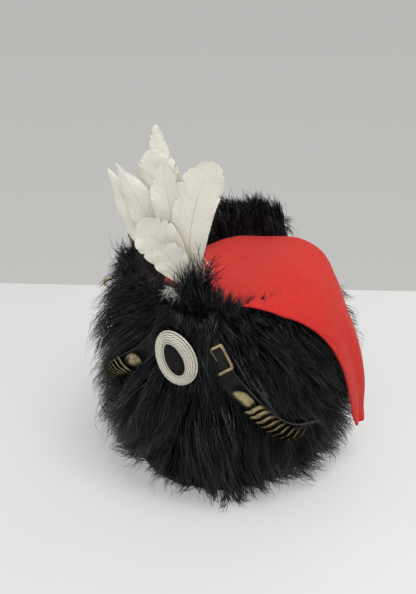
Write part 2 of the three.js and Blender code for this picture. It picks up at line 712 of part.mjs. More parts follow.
const busby = new THREE.Group();
busby.add(
  part(
    "fur_body",
    cut(furBody(), [
      bagRoom,
      strapRoom(tongue, HIDDEN.tongue, hiddenTop),
      strapRoom(tongue, SHOWN.tongue, FUR_ROOM.shown),
      strapRoom(scaled, HIDDEN.scaled, hiddenTop),
      strapRoom(scaled, SHOWN.scaled, FUR_ROOM.shown),
      buckleRoom,
      bossRoom,
      movedTo(hookWire(HOOK.diameter + 2 * GAP), hookAt),
    ]),
    fur,
  ),
  part("crown", crown(), felt),
  part("bag", bag(-BAG_THICKNESS / 2, BAG_THICKNESS / 2), felt),
  part("strap_tongue", cut(strapBand(tongue), [movedTo(prongHole(), buckleAt)]), leather),
  part("strap_scaled", strapBand(scaled), leather),
  setOn(part("buckle_frame", buckleFrame(), brass), buckleAt),
  setOn(part("buckle_prong", buckleProng(), brass), buckleAt),
  ...scaleRun("left", scaled),
  ...scaleRun("right", tongue),
  setOn(part("boss_core", bossCore(), blackFelt), bossAt),
  ...range(BOSS_RINGS.count).map((i) =>
    setOn(part(`boss_cord_${i + 1}`, bossRing(i), silverCord), bossAt),
  ),
  ...plume(),
  part("plume_stem", stem(), brass),
  part("hackle", hackle(), fur),
  setOn(part("side_hook", hookWire(HOOK.diameter), brass), hookAt),
);

// The origin is on the floor, at the middle of the whole cap's box.
const box = new THREE.Box3().setFromObject(busby);
const middle = box.getCenter(vec());
busby.position.set(-middle.x, -middle.y, -box.min.z);

export default busby;
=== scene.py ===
"""A hussar's busby: the looks of each piece, built on the packed part.

Sizes in the tables are millimetres and degrees, but for the stage, which is in metres. The cap's own axes
have their origin under the middle of the head oval: the front faces -Y, the wearer's left is +X, and an angle
round the cap is counted from the front towards the wearer's left. A piece's mesh is in metres, in the part's
frame.
"""

import math

import bpy
import numpy as np
from bpy.props import FloatProperty, FloatVectorProperty, IntProperty, PointerProperty
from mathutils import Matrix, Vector


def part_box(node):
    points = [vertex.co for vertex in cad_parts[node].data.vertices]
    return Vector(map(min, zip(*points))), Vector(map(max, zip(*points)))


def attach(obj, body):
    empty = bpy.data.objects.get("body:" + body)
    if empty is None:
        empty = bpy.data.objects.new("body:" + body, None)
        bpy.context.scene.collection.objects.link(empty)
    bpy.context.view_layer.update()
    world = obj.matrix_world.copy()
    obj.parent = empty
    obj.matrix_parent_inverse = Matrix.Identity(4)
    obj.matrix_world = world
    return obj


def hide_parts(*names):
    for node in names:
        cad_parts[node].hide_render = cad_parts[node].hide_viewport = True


bl_info = {
    "name": "Hussar's busby",
    "version": (1, 0, 0),
    "blender": (4, 5, 0),
    "location": "3D View > Sidebar > Busby",
    "description": "Builds a fur busby with its cloth bag, plume, boss and scaled chin strap",
    "category": "Add Mesh",
}

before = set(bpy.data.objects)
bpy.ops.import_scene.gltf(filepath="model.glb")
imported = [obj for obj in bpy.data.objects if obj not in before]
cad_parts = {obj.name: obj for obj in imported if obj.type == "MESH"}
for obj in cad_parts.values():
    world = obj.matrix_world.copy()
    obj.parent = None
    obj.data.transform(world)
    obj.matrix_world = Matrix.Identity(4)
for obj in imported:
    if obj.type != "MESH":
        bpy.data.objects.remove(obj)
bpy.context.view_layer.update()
MM = 0.001
BODY = "root"
CHUNK = 20000  # points in one step of a search, so that its arrays stay small
FINE = 40  # points between two given ones, where a line's length is measured

# ---- Sizes of the part, as its own source has them ----

HEAD = {"half_width": 82.0, "half_depth": 99.0}
HIDE = 4.0
RIM = (203.0, 214.0, 228.0, 192.0)  # front, right, back, left, as are the depths of the fur below
# share of the rim's height, and the fur's depth on the four sides
FUR = (
    (0.00, (21, 27, 21, 28)),
    (0.05, (27, 33, 28, 33)),
    (0.16, (34, 39, 35, 39)),
    (0.32, (38, 42, 39, 44)),
    (0.50, (38, 42, 40, 44)),
    (0.66, (35, 41, 38, 41)),
    (0.79, (29, 39, 35, 35)),
    (0.89, (22, 33, 29, 27)),
    (0.96, (13, 24, 20, 18)),
    (1.00, (4, 13, 9, 8)),
)
CROWN = {"right_edge": 164.0, "left_edge": 184.0, "thickness": 2.5, "rise": 14.0}
# across, height, front, how far the front edge turns down, back, how far the back edge turns down
BAG = (
    (-72, 176, -32, 0, 30, 0),
    (-58, 185, -62, 1, 65, 0),
    (-24, 198, -82, 7, 88, 0),
    (14, 202, -93, 7, 92, 0),
    (53, 208, -93, 9, 83, 1),
    (84, 203, -83, 14, 64, 3),
    (106, 184, -66, 12, 47, 5),
    (122, 157, -51, 8, 38, 7),
    (135, 125, -42, 6, 35, 7),
    (143, 90, -31, 6, 30, 5),
    (144, 61, -20, 4, 20, 3),
    (145, 46, -12, 2, 12, 1),
)
BAG_THICKNESS = 3.0
STRAP = {"width": 17.0, "thickness": 2.0}
# angle, height, how deep the strap's middle lies in the fur, and how far its face is turned down, in degrees
TONGUE_ROUTE = (
    (-92, 14, 26, 0),
    (-84, 44, 22, 14),
    (-71, 78, 15, 38),
    (-58, 97, 10, 50),
    (-47, 108, 7.5, 56),
    (-36, 124, 5.5, 50),
    (-27, 138, 5, 28),
    (-20, 150, 5, 8),
    (-14, 166, 5, 0),
    (-7, 184, 5, 0),
    (-2, 193, 4, 0),
    (4, 193, 4, 0),
    (8.6, 182, 5, 0),
    (11.6, 169, 5, 0),
    (14.6, 157, 5, 0),
    (18.3, 143, 5, 0),
)
SCALED_ROUTE = (
    (15.4, 154, 7.6, 0),
    (18.3, 143, 7.6, 0),
    (22.5, 131, 6.5, 12),
    (26.6, 120.5, 5, 28),
    (31, 109, 5, 36),
    (35.5, 98.5, 5, 40),
    (40.5, 89, 5, 43),
    (45.5, 82.5, 5.5, 44),
    (51.5, 77.5, 7, 44),
    (63, 66, 12, 34),
    (76, 42, 18, 14),
    (88, 14, 24, 0),
)
BUCKLE_PLACE = 0.945
BUCKLE = {"width": 22.5, "length": 25.5, "bar": 2.6, "thickness": 1.8, "bar_diameter": 1.8}
PRONG_THICKNESS = 1.4
GAP = 0.4
# how round a scale's root and tip are is a part of its length, and its notch's width a part of its half width
SCALE = {
    "half_width": 10.5, "length": 15.0, "thickness": 0.9, "dome": 2.6, "tilt": 17.0,
    "root_round": 0.25, "tip_round": 0.55, "notch": 2.2, "notch_width": 0.22,
}
END_SCALE = {
    "half_width": 7.0, "length": 29.0, "thickness": 1.2, "dome": 2.6, "tilt": 1.0,
    "root_round": 0.5, "tip_round": 0.5, "notch": 0.0, "notch_width": 1.0,
}
SCALE_SPACING = {"first": 20.0, "others": 6.8}
# most_tilt is the tilt of the scale farthest from the front
SCALE_RUNS = {
    "left": {"route": "scaled", "start": 0.105, "scales": 9, "direction": 1, "most_tilt": 34.0},
    "right": {"route": "tongue", "start": 0.632, "scales": 7, "direction": -1, "most_tilt": 22.0},
}
# the middle drifts from the outer ring to the inner one
BOSS = {
    "angle": -1.6, "height": 159.5, "sunk": 2.0, "tilt": 35.0, "half_width": 18.0, "half_height": 25.0,
    "backing": 2.0, "narrowing": 0.1, "drift_across": -2.6, "drift_along": -1.2,
}
BOSS_RINGS = {"count": 6, "cord": 0.8, "pitch": 1.75, "dome": 3.6}
PLUME = {"x": 0.0, "y": -100.0, "root_height": 210.0, "spacing": 1.9}
# root, tip's place across, tip's height, bow, half width, where it is widest
FEATHERS = {
    "front_short": (1, -28, 255, 3, 17, 0.72),
    "front_broad": (0, -41, 271, 3, 22, 0.74),
    "right_paddle": (3, 14, 328, -3, 20, 0.8),
    "middle_front": (0, -24, 322, -2, 14, 0.74),
    "left_inner": (-1, -71, 318, 1, 17, 0.6),
    "left_outer": (-2, -81, 312, -4, 17, 0.55),
    "middle_wide": (0, -34, 339, -3, 21, 0.76),
    "middle_tall": (-1, -33, 353, -4, 13, 0.66),
}
HACKLE = {"x": 6.5, "y": -113.5, "height": 205.0}
HOOK = {"angle": -76.0, "height": 178.0, "depth": 12.0, "drop": 9.0, "reach": 7.0, "diameter": 2.0}
# The hook's bends, as parts of its reach and its drop
HOOK_LINE = ((0.7, 0.15), (1.0, 0.5), (0.6, 0.95), (0.1, 0.8))

# ---- Sizes of the looks ----

# Each vane's own shape on its feather's line: how pointed its tip is, from 0 for round to 1 for a lance, the
# power of its lower edge, its width as a part of the row's, how far its middle bows to the left, and how far
# its tip leans to the left and comes down
VANES = {
    "front_short": (0.5, 1.3, 1.0, 1, 0, 0),
    "front_broad": (0.3, 1.7, 1.0, 0, 4, -2),
    "right_paddle": (0.0, 0.62, 0.97, 7, -6, 0),
    "middle_front": (0.3, 1.3, 1.12, 1, 2, 0),
    "left_inner": (1.0, 1.45, 1.0, 0, 0, 0),
    "left_outer": (1.0, 1.45, 1.0, 0, 0, 0),
    "middle_wide": (0.0, 1.45, 1.02, 3, 5, 8),
    "middle_tall": (0.0, 1.0, 0.84, 2, 5, 2),
}
# The feathers with a lower number than this cup towards the front, and the others back
FRONT_FEATHERS = 4
# Half a vane's thickness, and how far a quill's radius is over its tip's at the root, and the tip's
VANE_HALF, QUILL = 0.22, {"over": 0.5, "tip": 0.07}
# Loose tufts at the plume's root: what they start from, how many hairs, their middle from there, how far they
# spread across, along and up, their aim and its spread, length, radius, bend, and the node they stand for
PLUME_TUFTS = {
    "down_left": ("down", 70, (-10, -4, 4), (5, 2, 2), (-0.8, -0.4, -0.1), (0.5, 0.3, 0.4), 10, 0.1, 4,
                  "feather_front_short"),
    "down_right": ("down", 40, (14, -1, 24), (1.2, 1, 5), (0.4, -0.4, 0.3), (0.5, 0.3, 0.5), 8, 0.13, 3,
                   "feather_right_paddle"),
    "hackle_barbs": ("hackle", 800, (0, 0, 0), (5.8, 3, 6), (0.05, -0.1, 1.0), (0.2, 0.2, 0.12), 32, 0.3, 5,
                     "hackle"),
    "hackle_wisps": ("hackle", 150, (8, 2, 15), (4, 2, 10), (0.3, -0.1, 1.0), (0.35, 0.2, 0.2), 24, 0.26, 5,
                     "hackle"),
}
# How high a scale swells along its middle, and its two lobes and its shallow dents stand
SCALE_FORM = {"swell": 0.7, "lobes": 0.55, "dents": 0.12}
# How far stains darken each side's scales; the right side's extra darkness is painted shade
SCALE_PATINA_AND_SHADE = {"left": 0.45, "right": 1.0}
# The undercoat's steps round the cap, up its outside and down its inside, and how high its lumps stand
UNDERCOAT = {"round": 150, "up": 40, "down": 12, "lumps": 0.8}
# The coat's locks. Their foot is below the first share of the rim's height, and their top over the second. A
# lock's length varies between two parts of the setting, and is less at the top. It falls by a part of its
# length, less at the top. Its tips stand a little over the fur's surface, and how far they stand out varies
# between two parts of that, and is less at the foot.
COAT = {
    "foot": 0.13, "top": 0.84, "length": (0.7, 1.2), "shorter_at_top": 0.3, "fall": 0.88, "less_at_top": 0.45,
    "over": 2.5, "lift": (0.75, 1.2), "less_at_foot": 0.25,
}
# How the coat's locks lean, in radians: a fan that opens to both sides, less a parting round one angle, and
# slow and quick waves
LEAN = {"fan": 0.5, "parting": 0.22, "parting_at": -0.5, "parting_wide": 0.55, "slow": 0.26, "quick": 0.16}
# How far the roots of the fur stay under its rim
RIM_GAP = 3
# How far over the hem and under the floor the coat's foot starts and ends its curve inwards
TUCK = 8.0
# How far a hair stands out over the fur's surface at most, and where it starts to be held back. More is
# allowed round one angle.
REACH = {"free": 6.0, "most": 15.0, "more": 7.0, "more_at": -57.0, "more_wide": 15.0}
# Where along a hair its places lie, and how thick it is there
HAIR_STEPS = np.array([0.0, 0.34, 0.68, 1.0])
HAIR_TAPER = np.array([1.0, 0.95, 0.7, 0.0])
# The powers of a hair's way up and round, and of its way out, and how far it waves to the side
HAIR_RISE, HAIR_LIFT, HAIR_WAVE = 1.3, 1.8, 0.8
# How far a lock's hairs close up towards its tip, and the spread of a lock that has fewer hairs than the
# coat's, as a part of theirs
TIGHT, SMALL_LOCK = (0.6, 0.97), 0.6
# A stray hair's length, way out, turn and thickness, as parts of those of the rest of its lock
STRAY = {"length": 1.3, "lift": 1.15, "turn": 4.5, "thickness": 0.7}
# The least and the most that a hair goes under what presses it, and that it stays over the floor. A point
# brought up to there also goes outwards, by a part of its way up.
UNDER_TRIM = (2.2, 5.5)
OVER_FLOOR, PUSHED_OUT = (0.4, 3.0), 0.12
# The parts of the straps where they show, and half the width in which they press the hairs under them
SHOWN = {"tongue": (0.42, 0.71), "scaled": (0.09, 0.6), "half": 8.6}
# The ovals of the buckle's near half and of the boss that press the hairs: how far each is shifted across and
# along, its half width and half height, and how much deeper than the straps it presses
PRESSED = {"buckle": (-6.5, 0.0, 7.5, 15.5, 1.5), "boss": (-0.5, 1.6, 17.6, 24.6, 0.0)}
# Where the pull on the hairs fades out: how far beside a strap or the bag, from and to how far past a strap's
# shown ends, and from and to which part of an oval's size
PULL_FADE, PULL_ENDS, PULL_OVAL = 5, (3, 9), (1.0, 1.25)
# How far under the bag's lower face the hairs are held
BAG_CLEAR = 1.2
# A hair that is higher than this over a strap, the boss or the bag is on another side of the cap
HIGHEST = {"trim": 60, "bag": 70}
# Where the rim sinks under the bag's back edge: angles, and the depth
HOLLOW = {"from": 104.0, "deep_from": 126.0, "deep_to": 157.0, "to": 168.0, "depth": 24.0}
# The hem of the coat is cut higher in front, but for a point that reaches the floor, and higher still round
# one angle
HEM = {
    "height": 25.0, "from": -60.0, "full_from": -40.0, "full_to": 66.0, "to": 92.0, "point": 19.0,
    "wide": 10.0, "side": 9.0, "side_at": -22.0, "side_wide": 15.0,
}
# Where the coat stands out in tufts: angle, height, how wide in degrees and how tall, and how far
TUFTS = (
    (-76, 178, 20, 14, -7),
    (-78, 126, 12, 13, 12),
    (-82, 84, 16, 20, 15),
    (-66, 60, 16, 34, 17),
    (-60, 136, 14, 10, -15),
    (-60, 164, 12, 9, 14),
    (54, 22, 9, 14, 14),
    (10, 170, 7, 16, 9),
    (19, 8, 8, 16, 24),
    (80, 60, 18, 26, 17),
    (150, 60, 40, 40, 6),
    (-140, 90, 40, 40, 6),
)
# Locks along the rim: from and to which angle, how many, hairs in each, the lowest and highest root as a
# part of the rim's height (or, on the inside wall, how far below the rim), how far the tips go out, up and
# round, and 1 where nothing presses them down. Near the rim, out of the fur is mostly upwards, and up it is
# mostly inwards.
EDGE_LOCKS = (
    (-48, 3, 46, 16, 0.95, 1.0, (5, 12), (2, 12), (-16, 4), 0),
    (0, 20, 34, 16, 0.94, 1.0, (2, 9), (14, 27), (-2, 8), 1),
    (18, 44, 34, 9, 0.95, 1.0, (0, 6), (9, 18), (2, 14), 1),
    (44, 106, 40, 8, 0.95, 1.0, (4, 10), (0, 6), (-4, 8), 0),
    (-125, -46, 120, 16, 0.93, 1.0, (9, 23), (4, 20), (-18, 8), 0),
    (-156, -124, 64, 16, 0.92, 1.0, (6, 18), (8, 24), (-4, 22), 0),
    (-180, -156, 56, 16, 0.92, 1.0, (4, 16), (12, 29), (-4, 16), 0),
    (166, 181, 40, 16, 0.93, 1.0, (2, 14), (18, 35), (-12, 10), 0),
    (-72, -30, 50, 14, 0.96, 1.0, (-34, -10), (0, 12), (-12, 12), 0),
    (-44, -24, 50, 15, 0.95, 1.0, (-12, 2), (9, 19), (-6, 8), 1),
    (-27, -9, 70, 15, 0.96, 1.0, (-9, 2), (14, 24), (-6, 4), 1),
    (-15, -5, 40, 14, 0.97, 1.0, (-4, 3), (14, 22), (-3, 5), 1),
    (-184, -54, 160, 13, 0.98, 1.0, (2, 9), (20, 36), (-12, 12), 0),
    (-184, -20, 110, 13, -9.0, 0.0, (-15, -3), (-28, -4), (-14, 10), 0),
    (-128, -18, 120, 15, -22.0, 0.0, (-26, -6), (12, 32), (-12, 12), 0),
    (-184, -126, 120, 15, -26.0, 0.0, (-24, -4), (14, 36), (-26, -8), 0),
    (168, 178, 26, 15, -22.0, 0.0, (-16, -2), (14, 34), (-14, 2), 0),
)
# Locks that lie over the strap's upper bend and over the buckle's near half: angles, heights, how many, hairs
# in each, and how far the tips go out, up and round
COVER_LOCKS = (
    ((-12, 12), (184, 198), 60, 14, (1, 5), (-34, -16), (-8, 8)),
    ((3, 12.5), (152, 186), 90, 14, (1, 5), (-40, -20), (-3, 8)),
)
# The buckle's section: in from its edge as a part of the bar, up as a part of its thickness, and how dark it
# is painted there, as shade that is deepest on its lower and inner faces
BUCKLE_SECTION = (
    (0.0, 0.15, 0.5), (0.0, 0.75, 0.2), (0.12, 0.93, 0), (0.3, 1, 0), (0.7, 1, 0), (0.88, 0.93, 0),
    (1.0, 0.75, 0.3), (1.0, 0.15, 0.7), (0.85, 0.0, 0.8), (0.15, 0.0, 0.8),
)
# The power that makes an oval the buckle's rectangle with round corners
SQUARED = 2 / 5.0 / 2.2
# The crown's cloth stops this far inside the head oval, and has shallow pleats
CROWN_INSET, PLEATS = 0.4, {"count": 26, "height": 0.5}
# The heights of the bag's soft waves, and of the crease where it turns down
BAG_WAVES, BAG_CREASE = 0.8, 0.5
# The folds of the bag's hanging end: where across it, how wide, and the height as a part of the fold's
BAG_FOLDS = ((0.52, 0.13, 1.0), (0.28, 0.12, -0.6))
# The bag's edge is round over the first width, and a sewn groove runs just inside it
BAG_EDGE = {"round": 2.4, "groove_at": 4.2, "groove": 0.28, "groove_width": 0.7}
# Half of a strap's section on its upper face: out from its middle, and up as a part of half its thickness,
# with a creased line near the edge
STRAP_SECTION = (
    (0, 1.1), (3.0, 1.08), (6.0, 1.03), (6.6, 1.0), (7.0, 0.84), (7.4, 1.0), (8.0, 0.9), (8.35, 0.55),
    (8.5, 0.0),
)

# ---- Sizes of the stage, in metres ----

# The lens and its sensor are in mm
CAMERA = {"at": (0.1987, -0.6312, 0.4527), "down": 23.5, "turn": 20.0, "lens": 42.42, "sensor": 36.0}
# The floor goes from behind the camera to a slanted far edge, just under the cap
FLOOR = {"half_width": 2.5, "behind": 1.5, "far": 1.0832, "slant": 0.0499, "height": -0.0004, "points": 6}
# name, where it stands, what it is turned to, its size, and the setting that holds its power
LAMPS = (
    ("key", (0.45, -0.35, 1.5), (0, 0, 0.1), 0.7, "key"),
    ("back", (0.35, 1.1, 1.0), (0, 0, 0.15), 0.9, "fill"),
    ("side", (-1.1, -0.6, 0.9), (0, 0, 0.12), 0.9, "fill"),
    ("window", (1.0, -0.35, 0.9), (0, 0, 0.1), 0.5, "window"),
    ("front", (0.1, -1.7, 0.75), (0, 0, 0.15), 1.3, "front"),
)


# ---- Arrays and meshes ----


def unit(vectors):
    """Each vector divided by its own length."""
    return vectors / np.maximum(np.linalg.norm(vectors, axis=-1, keepdims=True), 1e-9)


def dot(a, b):
    """The product of two arrays of vectors, row by row, kept as a column."""
    return (a * b).sum(-1, keepdims=True)


def ease(low, high, value):
    """0 below low, 1 above high, and 3t^2 - 2t^3 between them."""
    t = np.clip((value - low) / (high - low), 0, 1)
    return t * t * (3 - 2 * t)


def bell(value, at, wide):
    """1 at its place, and e^-1 a width to either side of it."""
    return np.exp(-(((value - at) / wide) ** 2))


def circle(steps):
    """Even angles round a full turn."""
    return np.linspace(0, 2 * np.pi, steps, endpoint=False)


def nearest(points, line):
    """The number of the line's point that is nearest to each point."""
    found = np.empty(len(points), int)
    for start in range(0, len(points), CHUNK):
        part = points[start : start + CHUNK]
        found[start : start + CHUNK] = ((part[:, None, :] - line) ** 2).sum(-1).argmin(1)
    return found


def catmull(points, places):
    """A centripetal Catmull-Rom line through the points. A place is the number of points passed, and the end
    tangents lean on one more point mirrored over each end."""
    p = np.asarray(points, float)
    p = np.vstack([2 * p[0] - p[1], p, 2 * p[-1] - p[-2]])
    gap = np.maximum(np.linalg.norm(np.diff(p, axis=0), axis=1) ** 0.5, 1e-6)[:, None]
    seg = np.clip(np.floor(places).astype(int), 0, len(points) - 2)
    t = (np.asarray(places) - seg)[:, None]
    p0, p1, p2, p3 = p[seg], p[seg + 1], p[seg + 2], p[seg + 3]
    d0, d1, d2 = gap[seg], gap[seg + 1], gap[seg + 2]
    m1 = ((p1 - p0) / d0 - (p2 - p0) / (d0 + d1) + (p2 - p1) / d1) * d1
    m2 = ((p2 - p1) / d1 - (p3 - p1) / (d1 + d2) + (p3 - p2) / d2) * d1
    return p1 + m1 * t + (3 * (p2 - p1) - 2 * m1 - m2) * t**2 + (2 * (p1 - p2) + m1 + m2) * t**3


def length_along(line):
    """The length run at each point of a line."""
    return np.r_[0, np.cumsum(np.linalg.norm(np.diff(line, axis=0), axis=1))]


def even_line(points, count):
    """count points at even lengths along the line through the given ones, and the line's length."""
    fine = catmull(points, np.linspace(0, len(points) - 1, FINE * len(points)))
    run = length_along(fine)
    at = np.linspace(0, run[-1], count)
    return np.stack([np.interp(at, run, fine[:, k]) for k in range(3)], 1), run[-1]


def ring_faces(rows, around, joined=False):
    """Quads between each ring and the next, and between each point of a ring and the next. Joined, the last
    ring meets the first."""
    row, turn = np.arange(rows if joined else rows - 1)[:, None], np.arange(around)
    here, there, step = row * around, (row + 1) % rows * around, (turn + 1) % around
    quads = np.broadcast_arrays(here + turn, here + step, there + step, there + turn)
    return np.stack(quads, -1).reshape(-1, 4)


def flat_tube(rows, around):
    """The faces of a closed plate whose rings' second half runs back under the first: its ends are strips of
    quads."""
    i = np.arange(around // 2 - 1)
    strip = np.stack([i + 1, i, around - 1 - i, around - 2 - i], -1)
    return [ring_faces(rows, around), np.concatenate([strip, (rows - 1) * around + strip[:, ::-1]])]


def round_tube(rows, around):
    """The faces of a closed tube: its ends are one polygon each."""
    turn = np.arange(around)
    return [ring_faces(rows, around), np.stack([turn[::-1], (rows - 1) * around + turn])]


def rings(line, size, side, over, around):
    """A ring round each point of a line: the size times cos of its turn to the side, and times sin over the
    line."""
    turn = circle(around)
    return (
        line[..., None, :]
        + size[..., None, None] * np.cos(turn)[:, None] * side[..., None, :]
        + size[..., None, None] * np.sin(turn)[:, None] * over[..., None, :]
    )


def rod(line, size, lean, around):
    """Rings of the given radii square to a line. Their first points lie square to the lean."""
    along = unit(np.gradient(line, axis=0))
    side = unit(np.cross(along, lean))
    return rings(line, size, side, np.cross(along, side), around)


def enclosed(points, blocks):
    """Six times the volume inside the faces: each face is a fan of triangles from its first corner."""
    total = 0.0
    for faces in blocks:
        for k in range(1, faces.shape[1] - 1):
            a, b, c = points[faces[:, 0]], points[faces[:, k]], points[faces[:, k + 1]]
            total += float((a * np.cross(b, c)).sum())
    return total


def piece(name, points, blocks, material, replaced=(), uv=None, marks=None):
    """A mesh object of the given points (millimetres, in the part's frame) and blocks of faces with equally
    many corners, turned to face outwards, on the part's body. marks are numbers for each point."""
    points = np.asarray(points, float).reshape(-1, 3)
    blocks = [np.asarray(b, np.int64) for b in blocks if len(b)]
    if enclosed(points, blocks) < 0:
        blocks = [b[:, ::-1] for b in blocks]
    corners = np.concatenate([b.ravel() for b in blocks])
    sizes = np.concatenate([np.full(len(b), b.shape[1]) for b in blocks])
    mesh = bpy.data.meshes.new(name)
    mesh.vertices.add(len(points))
    mesh.vertices.foreach_set("co", (points * MM).astype(np.float32).ravel())
    mesh.loops.add(len(corners))
    mesh.loops.foreach_set("vertex_index", corners.astype(np.int32))
    mesh.polygons.add(len(sizes))
    mesh.polygons.foreach_set("loop_start", (np.cumsum(sizes) - sizes).astype(np.int32))
    mesh.update(calc_edges=True)
    if uv is not None:
        layer = mesh.uv_layers.new(name="lie")
        layer.data.foreach_set("uv", np.asarray(uv, np.float32).reshape(-1, 2)[corners].ravel())
    for label, values in (marks or {}).items():
        mark = mesh.attributes.new(label, "FLOAT", "POINT")
        mark.data.foreach_set("value", np.asarray(values, np.float32).ravel())
    mesh.shade_smooth()
    if mesh.validate():
        raise RuntimeError(f"{name}: the mesh had faults")
    mesh.materials.append(material)
    made = bpy.data.objects.new(name, mesh)
    bpy.context.scene.collection.objects.link(made)
    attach(made, BODY)
    if replaced:
        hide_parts(*replaced)
    return made


# ---- The cap's form ----

low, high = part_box("crown")
CENTRE = np.array([(low.x + high.x) / 2, (low.y + high.y) / 2, 0.0]) / MM


def blend_sides(sides, angle):
    """front cos^2 ahead, back cos^2 behind, left sin^2 on the left and right sin^2 on the right."""
    front, right, back, left = sides
    ahead, leftward = np.cos(angle), np.sin(angle)
    return np.where(ahead > 0, front, back) * ahead**2 + np.where(leftward > 0, left, right) * leftward**2


def head_radius(angle):
    """The oval's radius: 1 / hypot(sin / half width, cos / half depth)."""
    return 1 / np.hypot(np.sin(angle) / HEAD["half_width"], np.cos(angle) / HEAD["half_depth"])


def fur_depth(angle, share):
    """Each side's depth is straight between the table's rows, and the sides are blended at the angle."""
    rows = np.array([row[0] for row in FUR])
    sides = np.array([row[1] for row in FUR], float)
    return blend_sides([np.interp(share, rows, sides[:, k]) for k in range(4)], angle)


def round_cap(angle, radius, height):
    """The point at an angle, a radius and a height on the cap, in the part's frame."""
    return np.stack(
        np.broadcast_arrays(np.sin(angle) * radius, -np.cos(angle) * radius, height), -1
    ) + CENTRE


def fur_point(angle, height, part=1.0):
    """The point of the fur at an angle and a height, at a part of its depth: 0 is the hide, 1 the surface."""
    share = height / blend_sides(RIM, angle)
    return round_cap(angle, head_radius(angle) + HIDE + part * fur_depth(angle, share), height)


def fur_frame(angle, height):
    """Unit vectors round the cap, up it and out of it, from the differences between nearby points."""
    around = fur_point(angle + 0.05, height) - fur_point(angle - 0.05, height)
    up = fur_point(angle, height + 5) - fur_point(angle, height - 5)
    out = unit(np.cross(around, up))
    around = unit(around)
    return around, np.cross(out, around), out


def route_frames(route, step=1.5):
    """Frames at even lengths along a strap's route, each a row of the arrays: place, along, across, out. The
    face is turned about the way along by the route's last column."""
    angle, height, sunk, roll = np.array(route, float).T
    out = fur_frame(np.radians(angle), height)[2]
    rows = fur_point(np.radians(angle), height) - out * sunk[:, None]
    fine = np.linspace(0, len(rows) - 1, FINE * len(rows))
    line = catmull(rows, fine)
    run = length_along(line)
    at = np.linspace(0, run[-1], int(run[-1] / step) + 1)
    line = np.stack([np.interp(at, run, line[:, k]) for k in range(3)], 1)
    roll = np.radians(np.interp(np.interp(at, run, fine), np.arange(len(rows)), roll))[:, None]
    along = unit(np.gradient(line, axis=0))
    local = line - CENTRE
    out = fur_frame(np.arctan2(local[:, 0], -local[:, 1]), local[:, 2])[2]
    out = unit(out - along * dot(out, along))
    out = out * np.cos(roll) + np.cross(along, out) * np.sin(roll)
    return {"at": line, "along": along, "out": out, "across": np.cross(along, out), "length": run[-1]}


def frame_at(frames, share):
    """The frame at a share of a route's length."""
    place = np.clip(share, 0, 1) * (len(frames["at"]) - 1)
    i = int(min(place, len(frames["at"]) - 2))
    mixed = (frames[k][i] * (i + 1 - place) + frames[k][i + 1] * (place - i) for k in ("at", "along", "out"))
    at, along, out = mixed
    along = unit(along)
    out = unit(out - along * dot(out, along))
    return {"at": at, "along": along, "out": out, "across": np.cross(along, out)}


def boss_frame():
    """The boss's frame on the fur, turned in its own plane by its tilt."""
    angle, height = np.radians(BOSS["angle"]), BOSS["height"]
    around, up, out = fur_frame(angle, height)
    turn = np.radians(BOSS["tilt"])
    return {
        "at": fur_point(angle, height) - out * BOSS["sunk"],
        "across": around * np.cos(turn) + up * np.sin(turn),
        "along": up * np.cos(turn) - around * np.sin(turn),
        "out": out,
    }


def set_on(local, place):
    """Points given across, along and out of a frame, put where the frame is."""
    ways = enumerate(("across", "along", "out"))
    across, along, out = (local[..., k : k + 1] * place[way] for k, way in ways)
    return place["at"] + across + along + out


def crown_height(across, out):
    """The crown's height: straight from its right edge to its left, and a parabola from its middle out."""
    share = (across / HEAD["half_width"] + 1) / 2
    straight = CROWN["right_edge"] * (1 - share) + CROWN["left_edge"] * share
    return straight + CROWN["rise"] * (1 - out**2)


def bag_line(places):
    """The bag's centre line, the way out of it and its two edges, at places along the table. An edge is how
    far back it lies and how far it turns down."""
    across, height, front, front_fall, back, back_fall = np.array(BAG, float).T
    spine = np.stack([across, 0 * across, height], 1)
    nearby = 1e-3
    ahead = catmull(spine, np.minimum(places + nearby, len(BAG) - 1))
    behind = catmull(spine, np.maximum(places - nearby, 0))
    along = unit(ahead - behind)
    facing = np.stack([-along[:, 2], 0 * along[:, 0], along[:, 0]], 1)
    front = catmull(np.stack([front, front_fall, height], 1), places)
    back = catmull(np.stack([back, back_fall, height], 1), places)
    return catmull(spine, places), facing, front, back


TONGUE = route_frames(TONGUE_ROUTE)
SCALED = route_frames(SCALED_ROUTE)
BUCKLE_AT = frame_at(TONGUE, BUCKLE_PLACE)
BOSS_AT = boss_frame()


# ---- Materials ----


